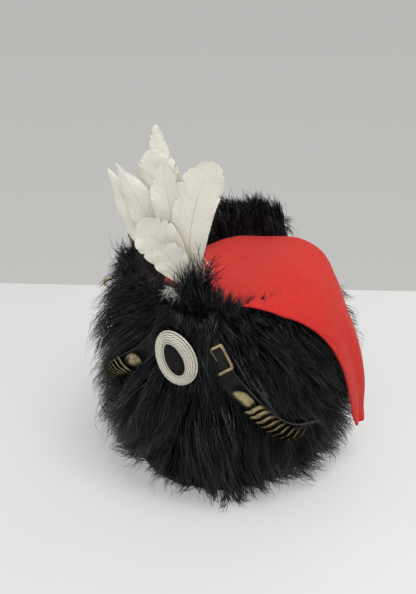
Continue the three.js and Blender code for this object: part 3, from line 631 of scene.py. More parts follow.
class Finish:
    """A node material of one Principled shader. Each method from place to bump makes its nodes and returns
    the last one's output, as a value for the next method."""

    def __init__(self, name, values):
        """An empty material with the shader's own plain values."""
        self.material = bpy.data.materials.new(name)
        self.material.use_nodes = True
        self.tree = self.material.node_tree
        self.tree.nodes.clear()
        self.out = self.tree.nodes.new("ShaderNodeOutputMaterial")
        self.shader = self.tree.nodes.new("ShaderNodeBsdfPrincipled")
        self.set(self.out, {"Surface": self.shader.outputs[0]})
        self.set(self.shader, values)

    def set(self, node, values):
        """Fills a node's inputs, by name or number, with numbers, colours or other nodes' outputs."""
        for name, value in values.items():
            if isinstance(value, bpy.types.NodeSocket):
                self.tree.links.new(value, node.inputs[name])
            else:
                node.inputs[name].default_value = value
        return node

    def add(self, kind, inputs=None, **settings):
        """A node with its settings and inputs."""
        node = self.tree.nodes.new("ShaderNode" + kind)
        for name, value in settings.items():
            setattr(node, name, value)
        return self.set(node, inputs or {})

    def place(self, scale=(1, 1, 1), of="Object", turn=(0, 0, 0)):
        """Coordinates of the object, or of the piece's own map, stretched and turned."""
        if of == "Object":
            source = self.add("TexCoord").outputs["Object"]
        else:
            source = self.add("UVMap", uv_map="lie").outputs[0]
        inputs = {"Vector": source, "Scale": scale, "Rotation": turn}
        return self.add("Mapping", inputs).outputs[0]

    def noise(self, scale, detail=3.0, rough=0.55, at=None, **more):
        """A cloud of noise, with as many waves in a metre as its scale."""
        inputs = {"Scale": scale, "Detail": detail, "Roughness": rough, **more}
        inputs["Vector"] = self.place() if at is None else at
        return self.add("TexNoise", inputs).outputs[0]

    def mark(self, label):
        """The number that a mesh holds for each of its points."""
        return self.add("Attribute", attribute_name=label).outputs["Fac"]

    def ramp(self, factor, *stops):
        """A colour ramp: each stop is (place, colour)."""
        node = self.add("ValToRGB", {"Fac": factor})
        ramp = node.color_ramp
        while len(ramp.elements) < len(stops):
            ramp.elements.new(0.5)
        for element, (at, colour) in zip(ramp.elements, stops):
            element.position, element.color = at, full(colour)
        return node.outputs[0]

    def range(self, value, low, high, to_low, to_high):
        """A number carried from one range to another."""
        inputs = {"Value": value, 1: low, 2: high, 3: to_low, 4: to_high}
        return self.add("MapRange", inputs).outputs[0]

    def math(self, kind, a, b):
        """A sum of two numbers, or another kind of result."""
        return self.add("Math", {0: a, 1: b}, operation=kind).outputs[0]

    def mix(self, factor, a, b):
        """Two colours mixed: inputs 6 and 7 of the node, and its output 2."""
        node = self.add("Mix", data_type="RGBA")
        return self.set(node, {0: factor, 6: a, 7: b}).outputs[2]

    def bump(self, height, strength, distance, under=None):
        """A normal bent by a height, on top of the one under it."""
        inputs = {"Height": height, "Strength": strength, "Distance": distance}
        if under is not None:
            inputs["Normal"] = under
        return self.add("Bump", inputs).outputs[0]

    def done(self, values):
        """Fills the shader's inputs, and gives the material."""
        self.set(self.shader, values)
        return self.material


def full(colour):
    """A colour with its alpha."""
    return (*colour, 1)


def shaded(colour, part):
    """A colour times a part of its strength."""
    return tuple(part * c for c in colour)


def fur_material(look, name="long fur"):
    """Black hair: each lock has its own shade and gloss, and a hair is greyer towards its tip. Its gloss is a
    little blue."""
    made = Finish(name, {"IOR": look.index, "Specular Tint": full(look.gloss_tint)})
    lock, along = made.mark("lock"), made.mark("along")
    dark, light = full(look.fur_dark), full(look.fur_light)
    shade = made.mix(made.range(lock, 0, 1, 0.0, 0.85), dark, light)
    colour = made.mix(made.range(along, 0.2, 1, 0.0, 0.5), shade, light)
    rough = made.range(lock, 0, 1, look.gloss_high, look.gloss_low)
    gloss = made.range(lock, 0.6, 0.97, 0.2, look.glossiest)
    return made.done({"Base Color": colour, "Roughness": rough, "Specular IOR Level": gloss})


def undercoat_material():
    """The woolly undercoat between the hairs: near black, matt, and matted in small tufts."""
    made = Finish("undercoat", {"Roughness": 0.95, "Specular IOR Level": 0.2})
    tufts = made.noise(260.0, 4.0)
    colour = made.ramp(tufts, (0.3, (0.0012, 0.0012, 0.0014)), (0.75, (0.006, 0.006, 0.007)))
    return made.done({"Base Color": colour, "Normal": made.bump(tufts, 0.8, 0.002)})


def felt_material(look, name="scarlet felt"):
    """Wool felt: a mottled scarlet with pale and dark fibres, a fine nap in the bump, and a soft sheen."""
    plain = {"Roughness": 0.92, "Specular IOR Level": 0.25}
    sheen = {"Sheen Weight": look.sheen, "Sheen Roughness": 0.45, "Sheen Tint": (1.0, 0.55, 0.5, 1)}
    made = Finish(name, {**plain, **sheen})
    cloud = made.noise(38.0, 4.0, 0.6)
    mottle = made.noise(420.0, 3.0, 0.7)
    swirl = made.noise(150.0, 2.0, 0.5, Distortion=1.6)
    fibre = made.noise(1900.0, 2.0, 0.6, at=made.place((1.0, 0.45, 1.0)))
    dark, light = full(look.felt_dark), full(look.felt_light)
    base = made.ramp(mottle, (0.3, look.felt_dark), (0.55, look.felt), (0.8, look.felt_light))
    base = made.mix(made.range(cloud, 0.35, 0.7, 0.0, 0.4), base, dark)
    base = made.mix(made.range(swirl, 0.45, 0.7, 0.0, 0.3), base, light)
    base = made.mix(made.range(fibre, 0.55, 0.8, 0.0, 0.35), base, light)
    nap = made.bump(fibre, 0.35, 0.0004, made.bump(mottle, 0.3, 0.0008, made.bump(cloud, 0.25, 0.003)))
    return made.done({"Base Color": base, "Normal": nap})


def leather_material(look):
    """Black strap leather: a fine grain, a satin face that is paler and duller where it has been rubbed, and
    grey edges."""
    made = Finish("strap leather", {"Specular IOR Level": 0.22})
    cells = {"Vector": made.place(), "Scale": 900.0, "Randomness": 1.0}
    grain = made.add("TexVoronoi", cells, feature="DISTANCE_TO_EDGE").outputs[0]
    rubbed = made.noise(70.0, 5.0, 0.6)
    colour = made.ramp(rubbed, (0.35, look.leather), (0.8, shaded(look.leather, 2.2)))
    colour = made.mix(made.math("MULTIPLY", made.mark("edge"), 0.8), colour, full(look.leather_edge))
    rough = made.range(rubbed, 0.3, 0.75, 0.4, 0.6)
    normal = made.bump(grain, 0.25, 0.0003, made.bump(rubbed, 0.15, 0.001))
    return made.done({"Base Color": colour, "Roughness": rough, "Normal": normal})


def brass_material(look, name, light, patina_and_shade, scale=1.0):
    """Aged brass: pale where rubbed, dark with stains and painted shade, and finely scratched."""
    made = Finish(name, {"Metallic": 1.0, "Specular IOR Level": 0.5})
    stain = made.noise(170.0 * scale, 6.0, 0.65)
    cloud = made.noise(55.0 * scale, 3.0)
    scratch = made.noise(900.0, 2.0, 0.5, at=made.place((0.15, 1.0, 1.0), turn=(0.3, 0.5, 0.7)))
    # The darker of the stains' patina and the painted shade that the piece marks
    stain_and_shade = made.math("MAXIMUM", made.range(stain, 0.44, 0.7, 0.0, patina_and_shade), made.mark("hollow"))
    colour = made.mix(made.range(cloud, 0.3, 0.7, 0.0, 1.0), full(light), full(shaded(light, 0.82)))
    colour = made.mix(stain_and_shade, colour, full(look.brass_stain_and_shade))
    rough = made.range(stain_and_shade, 0, 1, look.brass_rough, 0.62)
    normal = made.bump(scratch, 0.15, 0.0004, made.bump(stain, 0.45, 0.001))
    return made.done({"Base Color": colour, "Roughness": rough, "Normal": normal})


def cord_material(look):
    """Silver and off-white cord of fine threads: painted highlights on plies, painted shade in the lay."""
    made = Finish("silver cord", {"Specular IOR Level": 0.5, "Sheen Weight": 0.2, "Metallic": 0.1})
    lay = made.mark("lay")
    thread = made.noise(2600.0, 2.0, 0.5)
    soil = made.noise(160.0, 4.0, 0.6)
    # The lay's mark paints shade between the plies and a highlight on their crests
    colour = made.ramp(lay, (0.2, look.cord_soil_and_shade), (0.5, look.cord), (0.95, look.cord_highlight))
    for dark, part in ((thread, 0.25), (soil, 0.2)):
        colour = made.mix(made.range(dark, 0.5, 0.75, 0.0, part), colour, full(look.cord_soil_and_shade))
    rough = made.range(thread, 0.3, 0.7, 0.38, 0.62)
    normal = made.bump(thread, 0.4, 0.0003)
    return made.done({"Base Color": colour, "Roughness": rough, "Normal": normal})


def black_cloth_material():
    """Matt black cloth with a short pile."""
    made = Finish("black cloth", {"Roughness": 0.95, "Specular IOR Level": 0.15, "Sheen Weight": 0.05})
    pile = made.noise(1500.0, 3.0, 0.7)
    colour = made.ramp(pile, (0.3, (0.0015, 0.0015, 0.0018)), (0.75, (0.012, 0.012, 0.014)))
    return made.done({"Base Color": colour, "Normal": made.bump(pile, 0.7, 0.0006)})


def feather_material(look):
    """Goose feather: white barbs that show as fine lines across the vane, ivory by the quill, and thin enough
    to let some light through."""
    made = Finish("goose feather", {"Specular IOR Level": 0.3, "Sheen Weight": 0.15, "Roughness": 0.6})
    streak = made.noise(1.0, 3.0, 0.6, at=made.place((1.0, 1.9, 1.0), "lie"))
    broad = made.noise(1.0, 3.0, 0.5, at=made.place((0.8, 0.16, 1.0), "lie"))
    # Barbs from painted shade to light, with broad patches of painted shade over them
    colour = made.ramp(streak, (0.3, look.feather_shade), (0.6, look.feather), (0.85, look.feather_light))
    colour = made.mix(made.range(broad, 0.4, 0.75, 0.0, 0.3), colour, full(look.feather_shade))
    colour = made.mix(made.range(made.mark("base"), 0, 1, 0.0, 0.8), colour, full(look.feather_base))
    normal = made.bump(streak, 0.3, 0.0005, made.bump(broad, 0.3, 0.002))
    thin = made.add("BsdfTranslucent", {"Color": full(look.feather_light), "Normal": normal}).outputs[0]
    both = made.add("MixShader", {0: 0.25, 1: made.shader.outputs[0], 2: thin}).outputs[0]
    made.set(made.out, {"Surface": both})
    return made.done({"Base Color": colour, "Normal": normal})


def quill_material(look):
    """The feathers' shafts: horn, golden towards the root."""
    made = Finish("quill horn", {"Specular IOR Level": 0.5})
    run = made.noise(120.0, 3.0)
    colour = made.ramp(run, (0.3, look.quill), (0.8, look.quill_light))
    return made.done({"Base Color": colour, "Roughness": made.range(run, 0.3, 0.7, 0.3, 0.5)})


def down_material(look):
    """Loose white down at the feathers' roots, some of it shaded."""
    made = Finish("white down", {"Specular IOR Level": 0.2, "Roughness": 0.8, "Sheen Weight": 0.2})
    colour = made.mix(made.mark("lock"), full(look.feather_light), full(look.feather_shade))
    return made.done({"Base Color": colour})


# ---- The undercoat ----


def fur_rim(angle):
    """The height of the fur's rim, with a hollow pressed into it under the bag's back edge: it falls by its
    depth between the first two angles and comes back between the last two."""
    turned = np.degrees(angle) % 360
    falls = ease(HOLLOW["from"], HOLLOW["deep_from"], turned)
    comes_back = ease(HOLLOW["deep_to"], HOLLOW["to"], turned)
    return blend_sides(RIM, angle) - HOLLOW["depth"] * (falls * (1 - comes_back))


def coat_hem(angle):
    """The height of the coat's hem: in front it rises, less a bell at its point, plus a bell to one side."""
    turned = np.degrees(angle)
    front = ease(HEM["from"], HEM["full_from"], turned) * (1 - ease(HEM["full_to"], HEM["to"], turned))
    point = 1 - bell(turned, HEM["point"], HEM["wide"])
    side = HEM["side"] * bell(turned, HEM["side_at"], HEM["side_wide"])
    return front * (HEM["height"] * point + side)


def coat_point(angle, height, part=1.0):
    """The fur's point as fur_point gives it, for a rim with its hollow. The part of the depth falls to
    nothing between a little over the hem and as far under the floor."""
    stretch = blend_sides(RIM, angle) / fur_rim(angle)
    tuck = ease(-TUCK, coat_hem(angle) + TUCK, height)
    point = fur_point(angle, height * stretch, part * tuck)
    point[..., 2] = np.broadcast_to(height, point[..., 2].shape)
    return point


def undercoat(look):
    """A closed ring: each profile goes up the outside at a part of the fur's depth, in over the rim, and down
    the inside at the head oval. The outside is matted in waves along and round the cap."""
    steps, shares = UNDERCOAT["round"], np.linspace(0, 1, UNDERCOAT["up"])
    angle = circle(steps)[:, None]
    rim = fur_rim(angle)
    height = shares[None, :] * (rim - RIM_GAP)
    lumps = np.sin(9 * angle + height / 9) * np.sin(height / 7 + 4 * angle) + np.sin(23 * angle - height / 5)
    outside = coat_point(angle, height, look.root_part)
    out = unit((outside - CENTRE) * (1, 1, 0))
    outside = outside + out * (UNDERCOAT["lumps"] * lumps * np.sin(np.pi * shares) ** 0.5)[..., None]
    drops = np.linspace(0, 1, UNDERCOAT["down"])[None, :] ** 0.8
    inside = round_cap(angle, head_radius(angle), (rim - RIM_GAP - 1) * (1 - drops))
    points = np.concatenate([outside, inside], 1)
    faces = ring_faces(steps, points.shape[1], joined=True)
    return piece("undercoat", points, [faces], undercoat_material(), ["fur_body"])


# ---- Fur ----


def hair_mesh(name, paths, radii, lock, material, node):
    """Hairs as closed three-sided spikes. Each path has a ring of three points round every place but its
    last, which is the tip."""
    count, steps = paths.shape[:2]
    lean = unit(np.stack([np.cos(lock * 40), np.sin(lock * 40), np.cos(lock * 90)], -1))[:, None, :]
    tangent = unit(np.gradient(paths, axis=1))
    side = unit(np.cross(tangent, lean))
    over = np.cross(tangent, side)
    tip = (steps - 1) * 3
    tube = rings(paths, radii, side, over, 3)[:, :-1].reshape(count, tip, 3)
    points = np.concatenate([tube, paths[:, -1:, :]], 1)
    start = np.arange(count)[:, None, None] * (tip + 1)
    ends = np.array([(tip - 3, tip - 2, tip), (tip - 2, tip - 1, tip), (tip - 1, tip - 3, tip), (2, 1, 0)])
    faces = [(start + block).reshape(-1, block.shape[1]) for block in (ring_faces(steps - 1, 3), ends)]
    along = np.r_[np.repeat(np.linspace(0, 1, steps)[:-1], 3), 1.0]
    marks = {"along": np.tile(along, count), "lock": np.repeat(lock, tip + 1)}
    return piece(name, points, faces, material, [node], marks=marks)


def press(points, height, depth, pull, out, highest=HIGHEST["trim"]):
    """Points brought down along out to a depth, as far as the pull from 0 to 1 says."""
    drop = np.where(height < highest, np.maximum(height + depth, 0) * pull, 0)
    return points - out * drop[:, None]


def press_under_strap(points, loose, frames, shown, depth):
    """Hairs that cross a strap go under it. The pull fades out beside the strap and past its shown ends."""
    first, last = (int(s * (len(frames["at"]) - 1)) for s in shown)
    part = {k: frames[k][first : last + 1] for k in ("at", "along", "across", "out")}
    near = nearest(points, part["at"][::2]) * 2
    gap = points - part["at"][near]
    beside, ahead, height = ((gap * part[k][near]).sum(-1) for k in ("across", "along", "out"))
    half = SHOWN["half"]
    on_it = 1 - ease(half, half + PULL_FADE, np.abs(beside))
    pull = on_it * (1 - ease(*PULL_ENDS, np.abs(ahead))) * (1 - loose)
    return press(points, height, depth, pull, part["out"][near])


def press_under_plate(points, loose, place, oval, depth):
    """Hairs under the boss or the buckle: inside its oval, or just beside it, they go below its back."""
    shift_across, shift_along, half_width, half_height, more = oval
    gap = points - place["at"] - place["across"] * shift_across - place["along"] * shift_along
    beside, ahead, height = (gap @ place[k] for k in ("across", "along", "out"))
    reach = np.hypot(beside / half_width, ahead / half_height)
    pull = (1 - ease(*PULL_OVAL, reach)) * (1 - loose)
    return press(points, height, depth + more, pull, place["out"])


def press_under_bag(points, loose):
    """Hairs under the bag lie against its lower face. The nearest place on its centre line gives the height
    over the bag, and the pull fades out beside its edges."""
    places = np.linspace(0, len(BAG) - 1, 160)
    centre, facing, front, back = bag_line(places)
    local = points - CENTRE
    near = nearest(local[:, [0, 2]], centre[:, [0, 2]])
    gap = local - centre[near]
    height = gap[:, 0] * facing[near, 0] + gap[:, 2] * facing[near, 2]
    side = 2 * (local[:, 1] - front[near, 0]) / (back[near, 0] - front[near, 0]) - 1
    drop = np.clip(side, -1, 1) ** 2 * np.where(side < 0, front[near, 1], back[near, 1])
    over = height + drop + BAG_THICKNESS / 2 + BAG_CLEAR
    outside = np.maximum(front[near, 0] - local[:, 1], local[:, 1] - back[near, 0])
    beyond = (near == 0) | (near == len(places) - 1)
    pull = (1 - ease(0, PULL_FADE, outside)) * (1 - loose) * np.where(beyond, 0, 1)
    return press(points, over, 0, pull, facing[near], HIGHEST["bag"])


def lock_band(angle, height, tips, part, hairs, loose=0.0, inside=0.0):
    """A band of locks: where their roots are, how far their tips go out, up and round from there, at which
    part of the fur's depth they start, and how many hairs each has. loose is 0 for locks that everything
    presses down, 0.5 for those that lie over the straps, and 1 for those that nothing presses. inside is 1
    for roots on the inside wall."""
    lift, rise, swing = tips
    band = {"angle": angle, "height": height, "inside": inside, "lift": lift, "rise": rise, "swing": swing}
    band |= {"loose": loose, "part": part, "hairs": hairs}
    return {key: np.broadcast_to(values, len(angle)) for key, values in band.items()}


def coat_locks(look, rng):
    """The locks over the outside, one in each cell of a grid. A lock's tip stands out by the fur's depth over
    its root, and lies down the cap by its length times the cosine of its lean, and round it by the sine.
    Near the rim the locks are shorter. No tip falls below the hem, and under the hem the coat thins out
    towards the floor."""
    rows, columns = look.lock_rows, look.lock_columns
    row, column = np.meshgrid(np.arange(rows), np.arange(columns), indexing="ij")
    share = ((row + rng.uniform(0, 1, row.shape)) / rows).ravel()
    angle = ((column + rng.uniform(0, 1, row.shape)) / columns * 2 * np.pi - np.pi).ravel()
    count = len(share)
    height = share * (fur_rim(angle) - RIM_GAP)
    foot, top = 1 - ease(0.0, COAT["foot"], share), ease(COAT["top"], 1.0, share)
    parting = LEAN["parting"] * bell(angle, LEAN["parting_at"], LEAN["parting_wide"])
    fan = LEAN["fan"] * np.sin(angle) - parting * (1 - top)
    slow = LEAN["slow"] * np.sin(5 * angle + 2.1 + height / 40) * np.cos(height / 37 + 1.0)
    quick = LEAN["quick"] * np.sin(13 * angle - height / 15)
    lean = fan + slow + quick + rng.normal(0, look.unruly, count)
    length = look.hair_length * rng.uniform(*COAT["length"], count) * (1 - COAT["shorter_at_top"] * top)
    hem = coat_hem(angle)
    lowest = np.minimum(hem * rng.uniform(0.7, 1.1, count), height)
    fall = COAT["fall"] * length * np.cos(lean) * (1 - COAT["less_at_top"] * top)
    fall = np.minimum(fall, height + 3 - lowest)
    tip_share = np.clip((height - 0.75 * fall) / fur_rim(angle), 0, 1)
    at_root = fur_depth(angle, share)
    depth = np.minimum(at_root, fur_depth(angle, tip_share)) - look.root_part * at_root
    depth = depth * np.clip((height - fall + 4) / np.maximum(hem, 1), 0, 1)
    lift = (depth + COAT["over"]) * rng.uniform(*COAT["lift"], count) * (1 - COAT["less_at_foot"] * foot)
    for place, level, wide, tall, reach in TUFTS:
        near = np.exp(-(((np.degrees(angle) - place) / wide) ** 2) - ((height - level) / tall) ** 2)
        lift = lift + reach * near * rng.uniform(0.3, 1.0, count)
    tips = np.maximum(lift, 0), -fall, length * np.sin(lean)
    return lock_band(angle, height, tips, look.root_part, look.hairs_in_lock)


def edge_locks(look, rng, row):
    """A band of locks along the rim between two angles, from one row of EDGE_LOCKS. Their roots lie on the
    rim, or on the inside wall below it."""
    first, last, count, hairs, low, high, lift, rise, swing, loose = row
    angle = np.radians(rng.uniform(first, last, count))
    rim, root = fur_rim(angle), rng.uniform(low, high, count)
    inside = low < 0
    height = (rim + root if inside else rim * root) - RIM_GAP
    tips = [rng.uniform(*pair, count) for pair in (lift, rise, swing)]
    return lock_band(angle, height, tips, look.root_part, hairs, float(loose), float(inside))


def cover_locks(rng, row):
    """A band of locks rooted just under the fur's surface, from one row of COVER_LOCKS. Only the boss, the
    buckle and the bag press them down."""
    angles, heights, count, hairs, *tips = row
    angle, height, *tips = [rng.uniform(*pair, count) for pair in (angles, heights, *tips)]
    return lock_band(np.radians(angle), height, tips, 0.88, hairs, loose=0.5)


def lay_hairs(look, rng):
    """Every hair's path. A hair's root lies on the undercoat, or on the inside wall. With t from 0 to 1, its
    path goes out by its lock's lift times 1 - (1 - t)^HAIR_LIFT, and up and round by its rise and swing times
    t^HAIR_RISE. A lock's hairs start apart and close up towards its tip, apart from a few stray ones, which
    are longer and thinner. Returns the paths, and each hair's looseness, shade, strayness, angle and share of
    the rim's height."""
    bands = [coat_locks(look, rng)]
    bands += [edge_locks(look, rng, row) for row in EDGE_LOCKS]
    bands += [cover_locks(rng, row) for row in COVER_LOCKS]
    locks = {key: np.concatenate([band[key] for band in bands]) for key in bands[0]}
    total = len(locks["angle"])
    around, up, out = fur_frame(locks["angle"], np.clip(locks["height"], 6, None))
    tight = rng.uniform(*TIGHT, total)
    shade = rng.uniform(0, 1, total)

    own = np.repeat(np.arange(total), locks["hairs"])
    mine = {key: values[own] for key, values in locks.items()}
    count = len(own)
    spread = look.lock_spread * np.where(mine["hairs"] < look.hairs_in_lock, SMALL_LOCK, 1)
    beside = rng.normal(0, 1, count) * spread
    above = rng.normal(0, 1, count) * spread
    stray = rng.uniform(0, 1, count) < look.stray
    size = rng.uniform(0.7, 1.1, count) * np.where(stray, STRAY["length"], 1)
    lift = mine["lift"] * size * rng.uniform(0.8, 1.15, count) * np.where(stray, STRAY["lift"], 1)
    turn = rng.normal(0, 0.05, count) * np.where(stray, STRAY["turn"], 1)
    rise = size * (mine["rise"] * np.cos(turn) - mine["swing"] * np.sin(turn))
    swing = size * (mine["swing"] * np.cos(turn) + mine["rise"] * np.sin(turn))
    close = np.where(stray, 0.0, tight[own])[:, None, None]
    rim = fur_rim(mine["angle"])
    height = np.clip(mine["height"] + above, 0.8, rim - RIM_GAP)
    angle = mine["angle"] + beside / (head_radius(mine["angle"]) + 30)
    inside = mine["inside"][:, None] > 0
    wall = round_cap(angle, head_radius(angle) - 0.5, height)
    root = np.where(inside, wall, coat_point(angle, height, mine["part"]))
    o, u, a = out[own], np.where(inside, [0.0, 0.0, 1.0], up[own]), around[own]
    t = HAIR_STEPS[None, :, None]
    gather = -(a * beside[:, None] + u * above[:, None])[:, None, :] * (close * t**HAIR_RISE)
    wave = rng.normal(0, HAIR_WAVE, (count, 1, 1)) * np.sin(np.pi * t) * a[:, None, :]
    paths = (
        root[:, None, :]
        + o[:, None, :] * (lift[:, None, None] * (1 - (1 - t) ** HAIR_LIFT))
        + (u * rise[:, None] + a * swing[:, None])[:, None, :] * t**HAIR_RISE
        + gather
        + wave
    )
    return paths, mine["loose"], shade[own], stray, angle, height / rim


def hold_back(points):
    """Hairs that stand out too far come back: beyond the free reach, what is left of it up to the most
    follows a hyperbolic tangent."""
    local = points - CENTRE
    angle = np.arctan2(local[:, 0], -local[:, 1])
    radius = np.hypot(local[:, 0], local[:, 1])
    share = np.clip(local[:, 2] / fur_rim(angle), 0, 0.8)
    surface = head_radius(angle) + HIDE + fur_depth(angle, share)
    more = REACH["more"] * bell(np.degrees(angle), REACH["more_at"], REACH["more_wide"])
    room = REACH["most"] - REACH["free"] + more
    over = np.maximum(radius - surface - REACH["free"], 0)
    held = room * np.tanh(over / room)
    local[:, :2] *= (1 - (over - held) / np.maximum(radius, 1))[:, None]
    return local + CENTRE


def comb(paths, loose, rng):
    """Presses the hairs under the strap where it shows, the buckle, the boss and the bag, and keeps them over
    the floor: a point below it is brought up to it and moved outwards. The straps spare every hair that is
    loose at all, and the rest only those that are loose altogether."""
    count, steps = paths.shape[:2]
    points = paths.reshape(-1, 3)
    loose = np.repeat(loose, steps)
    depth = np.repeat(rng.uniform(*UNDER_TRIM, count), steps)
    for frames, strap in ((TONGUE, "tongue"), (SCALED, "scaled")):
        points = press_under_strap(points, np.ceil(loose), frames, SHOWN[strap], depth)
    for place, plate in ((BUCKLE_AT, "buckle"), (BOSS_AT, "boss")):
        points = press_under_plate(points, np.floor(loose), place, PRESSED[plate], depth)
    points = hold_back(press_under_bag(points, np.floor(loose)))
    floor = np.repeat(rng.uniform(*OVER_FLOOR, count), steps)
    under = np.maximum(floor - points[:, 2], 0)
    away = unit((points - CENTRE) * (1, 1, 0))
    points = points + away * (PUSHED_OUT * under)[:, None]
    points[:, 2] += under
    return points.reshape(count, steps, 3)


def fur(look):
    """All the hairs, in six pieces: one for each side of the cap, and two for its rim."""
    rng = np.random.default_rng(look.seed)
    paths, loose, shade, stray, angle, share = lay_hairs(look, rng)
    paths = comb(paths, loose, rng)
    count = len(paths)
    thick = look.hair_radius * rng.uniform(0.75, 1.25, count) * np.where(stray, STRAY["thickness"], 1)
    radii = thick[:, None] * HAIR_TAPER
    tone = np.clip(shade * 0.6 + rng.uniform(0, 0.4, count), 0, 1)
    material = fur_material(look)
    angle = (angle + np.pi) % (2 * np.pi) - np.pi
    side = np.floor((angle + np.pi / 4) / (np.pi / 2)).astype(int) % 4
    group = np.where(share > 0.9, np.where(np.abs(angle) < np.pi / 2, 4, 5), side)
    for k, name in enumerate(("front", "left", "back", "right", "rim_front", "rim_back")):
        mine = group == k
        hair_mesh(f"fur_{name}", paths[mine], radii[mine], tone[mine], material, "fur_body")


# ---- Crown and bag ----


def crown():
    """Two ovals of cloth, one a thickness over the other. A ring lies at a share of the way out, at the
    crown's height, with shallow pleats that grow towards the edge."""
    steps, outs = 120, np.linspace(1, 0.02, 24)[:, None]
    angle = circle(steps)[None, :]
    radius = (head_radius(angle) - CROWN_INSET) * outs
    pleats = PLEATS["height"] * np.sin(PLEATS["count"] * angle + 3 * outs) * outs**3
    height = crown_height(np.sin(angle) * radius, outs) + pleats
    above = round_cap(angle, radius, height + CROWN["thickness"])
    points = np.concatenate([round_cap(angle, radius, height)[::-1], above])
    faces = round_tube(len(points), steps)
    made = piece("crown_cloth", points, faces, look_materials["lining"], ["crown"])


def bag_surface(places, shares, look):
    """The bag's middle surface on a grid: a straight line across between its edges, less the side squared
    times each edge's fall, with soft waves, a crease where it turns down, and a fold and a dip beside it down
    the hanging end."""
    centre, facing, front, back = bag_line(places)
    share, along = shares[None, :], places[:, None]
    side = 2 * share - 1
    fall = side**2 * np.where(side < 0, front[:, None, 1], back[:, None, 1])
    hang = ease(5.2, 9.0, along)
    fold, dip = (part * look.fold * hang * bell(share, at, wide) for at, wide, part in BAG_FOLDS)
    waves = BAG_WAVES * np.sin(along * 1.9 + 5 * share) * np.sin(2.6 * np.pi * share + 0.6)
    crease = BAG_CREASE * np.exp(-(((along - 5.0 - 0.8 * share) / 0.25) ** 2))
    lift = fold + dip + waves * ease(0.5, 3.0, along) - crease - fall
    points = centre[:, None, :] + facing[:, None, :] * lift[..., None]
    points[..., 1] = front[:, None, 0] * (1 - share) + back[:, None, 0] * share
    return points + CENTRE


def bag(look):
    """The bag as one closed sheet. Half its thickness is put out and in of the middle surface, and falls as a
    quarter circle to its edges. On top, a sewn groove runs just inside them."""
    rows, columns = 130, 53
    places = np.linspace(0, len(BAG) - 1, rows)
    shares = (1 - np.cos(np.linspace(0, np.pi, columns))) / 2 * 0.5 + np.linspace(0, 1, columns) * 0.5
    middle = bag_surface(places, shares, look)
    out = unit(np.cross(np.gradient(middle, axis=1), np.gradient(middle, axis=0)))
    out = out * np.sign((out[..., 2:3] + 0.3 * out[..., 0:1]))
    width = np.linalg.norm(middle[:, -1] - middle[:, 0], axis=1)[:, None]
    inset = (1 - np.abs(2 * shares - 1))[None, :] * width / 2
    ends = np.minimum(np.arange(rows), np.arange(rows)[::-1])[:, None] * 2.2
    inset = np.minimum(inset, ends)
    rounded = np.clip(inset / BAG_EDGE["round"], 0.02, 1)
    half = BAG_THICKNESS / 2 * np.sqrt(rounded * (2 - rounded))
    groove = BAG_EDGE["groove"] * bell(inset, BAG_EDGE["groove_at"], BAG_EDGE["groove_width"])
    above = middle + out * (half - groove)[..., None]
    below = middle - out * half[..., None]
    points = np.concatenate([above, below[:, ::-1]], 1)
    faces = flat_tube(rows, 2 * columns)
    made = piece("bag_cloth", points, faces, look_materials["felt"], ["bag"])


# ---- Chin strap ----


def strap_piece(name, node, frames):
    """A strap's section carried along its route: flat faces with rounded corners, a creased line near each
    edge of the upper face, and a slight crown. Its middle rides along the route with small dips."""
    half, thick = STRAP["width"] / 2, STRAP["thickness"] / 2
    right = np.array(STRAP_SECTION)
    upper = np.concatenate([right[:0:-1] * (-1, 1), right])
    across, up = upper[:, 0] * half / right[-1, 0], upper[:, 1] * thick
    under = -np.minimum(np.abs(up), thick)
    section = np.concatenate([np.stack([across, up], 1), np.stack([across, under], 1)[::-1][1:-1]])
    edge = np.concatenate([ease(7.3, 8.3, np.abs(across)), ease(7.0, 8.2, np.abs(across))[::-1][1:-1]])
    rows, around = len(frames["at"]), len(section)
    run = np.arange(rows)
    dips = 0.25 * np.sin(run * 0.21) + 0.15 * np.sin(run * 0.53 + 1)
    points = (
        frames["at"][:, None, :]
        + frames["across"][:, None, :] * section[None, :, :1]
        + frames["out"][:, None, :] * (section[None, :, 1:] + 0.3 * dips[:, None, None])
    )
    marks, faces = {"edge": np.tile(edge, rows)}, round_tube(rows, around)
    piece(name, points, faces, look_materials["leather"], [node], marks=marks)


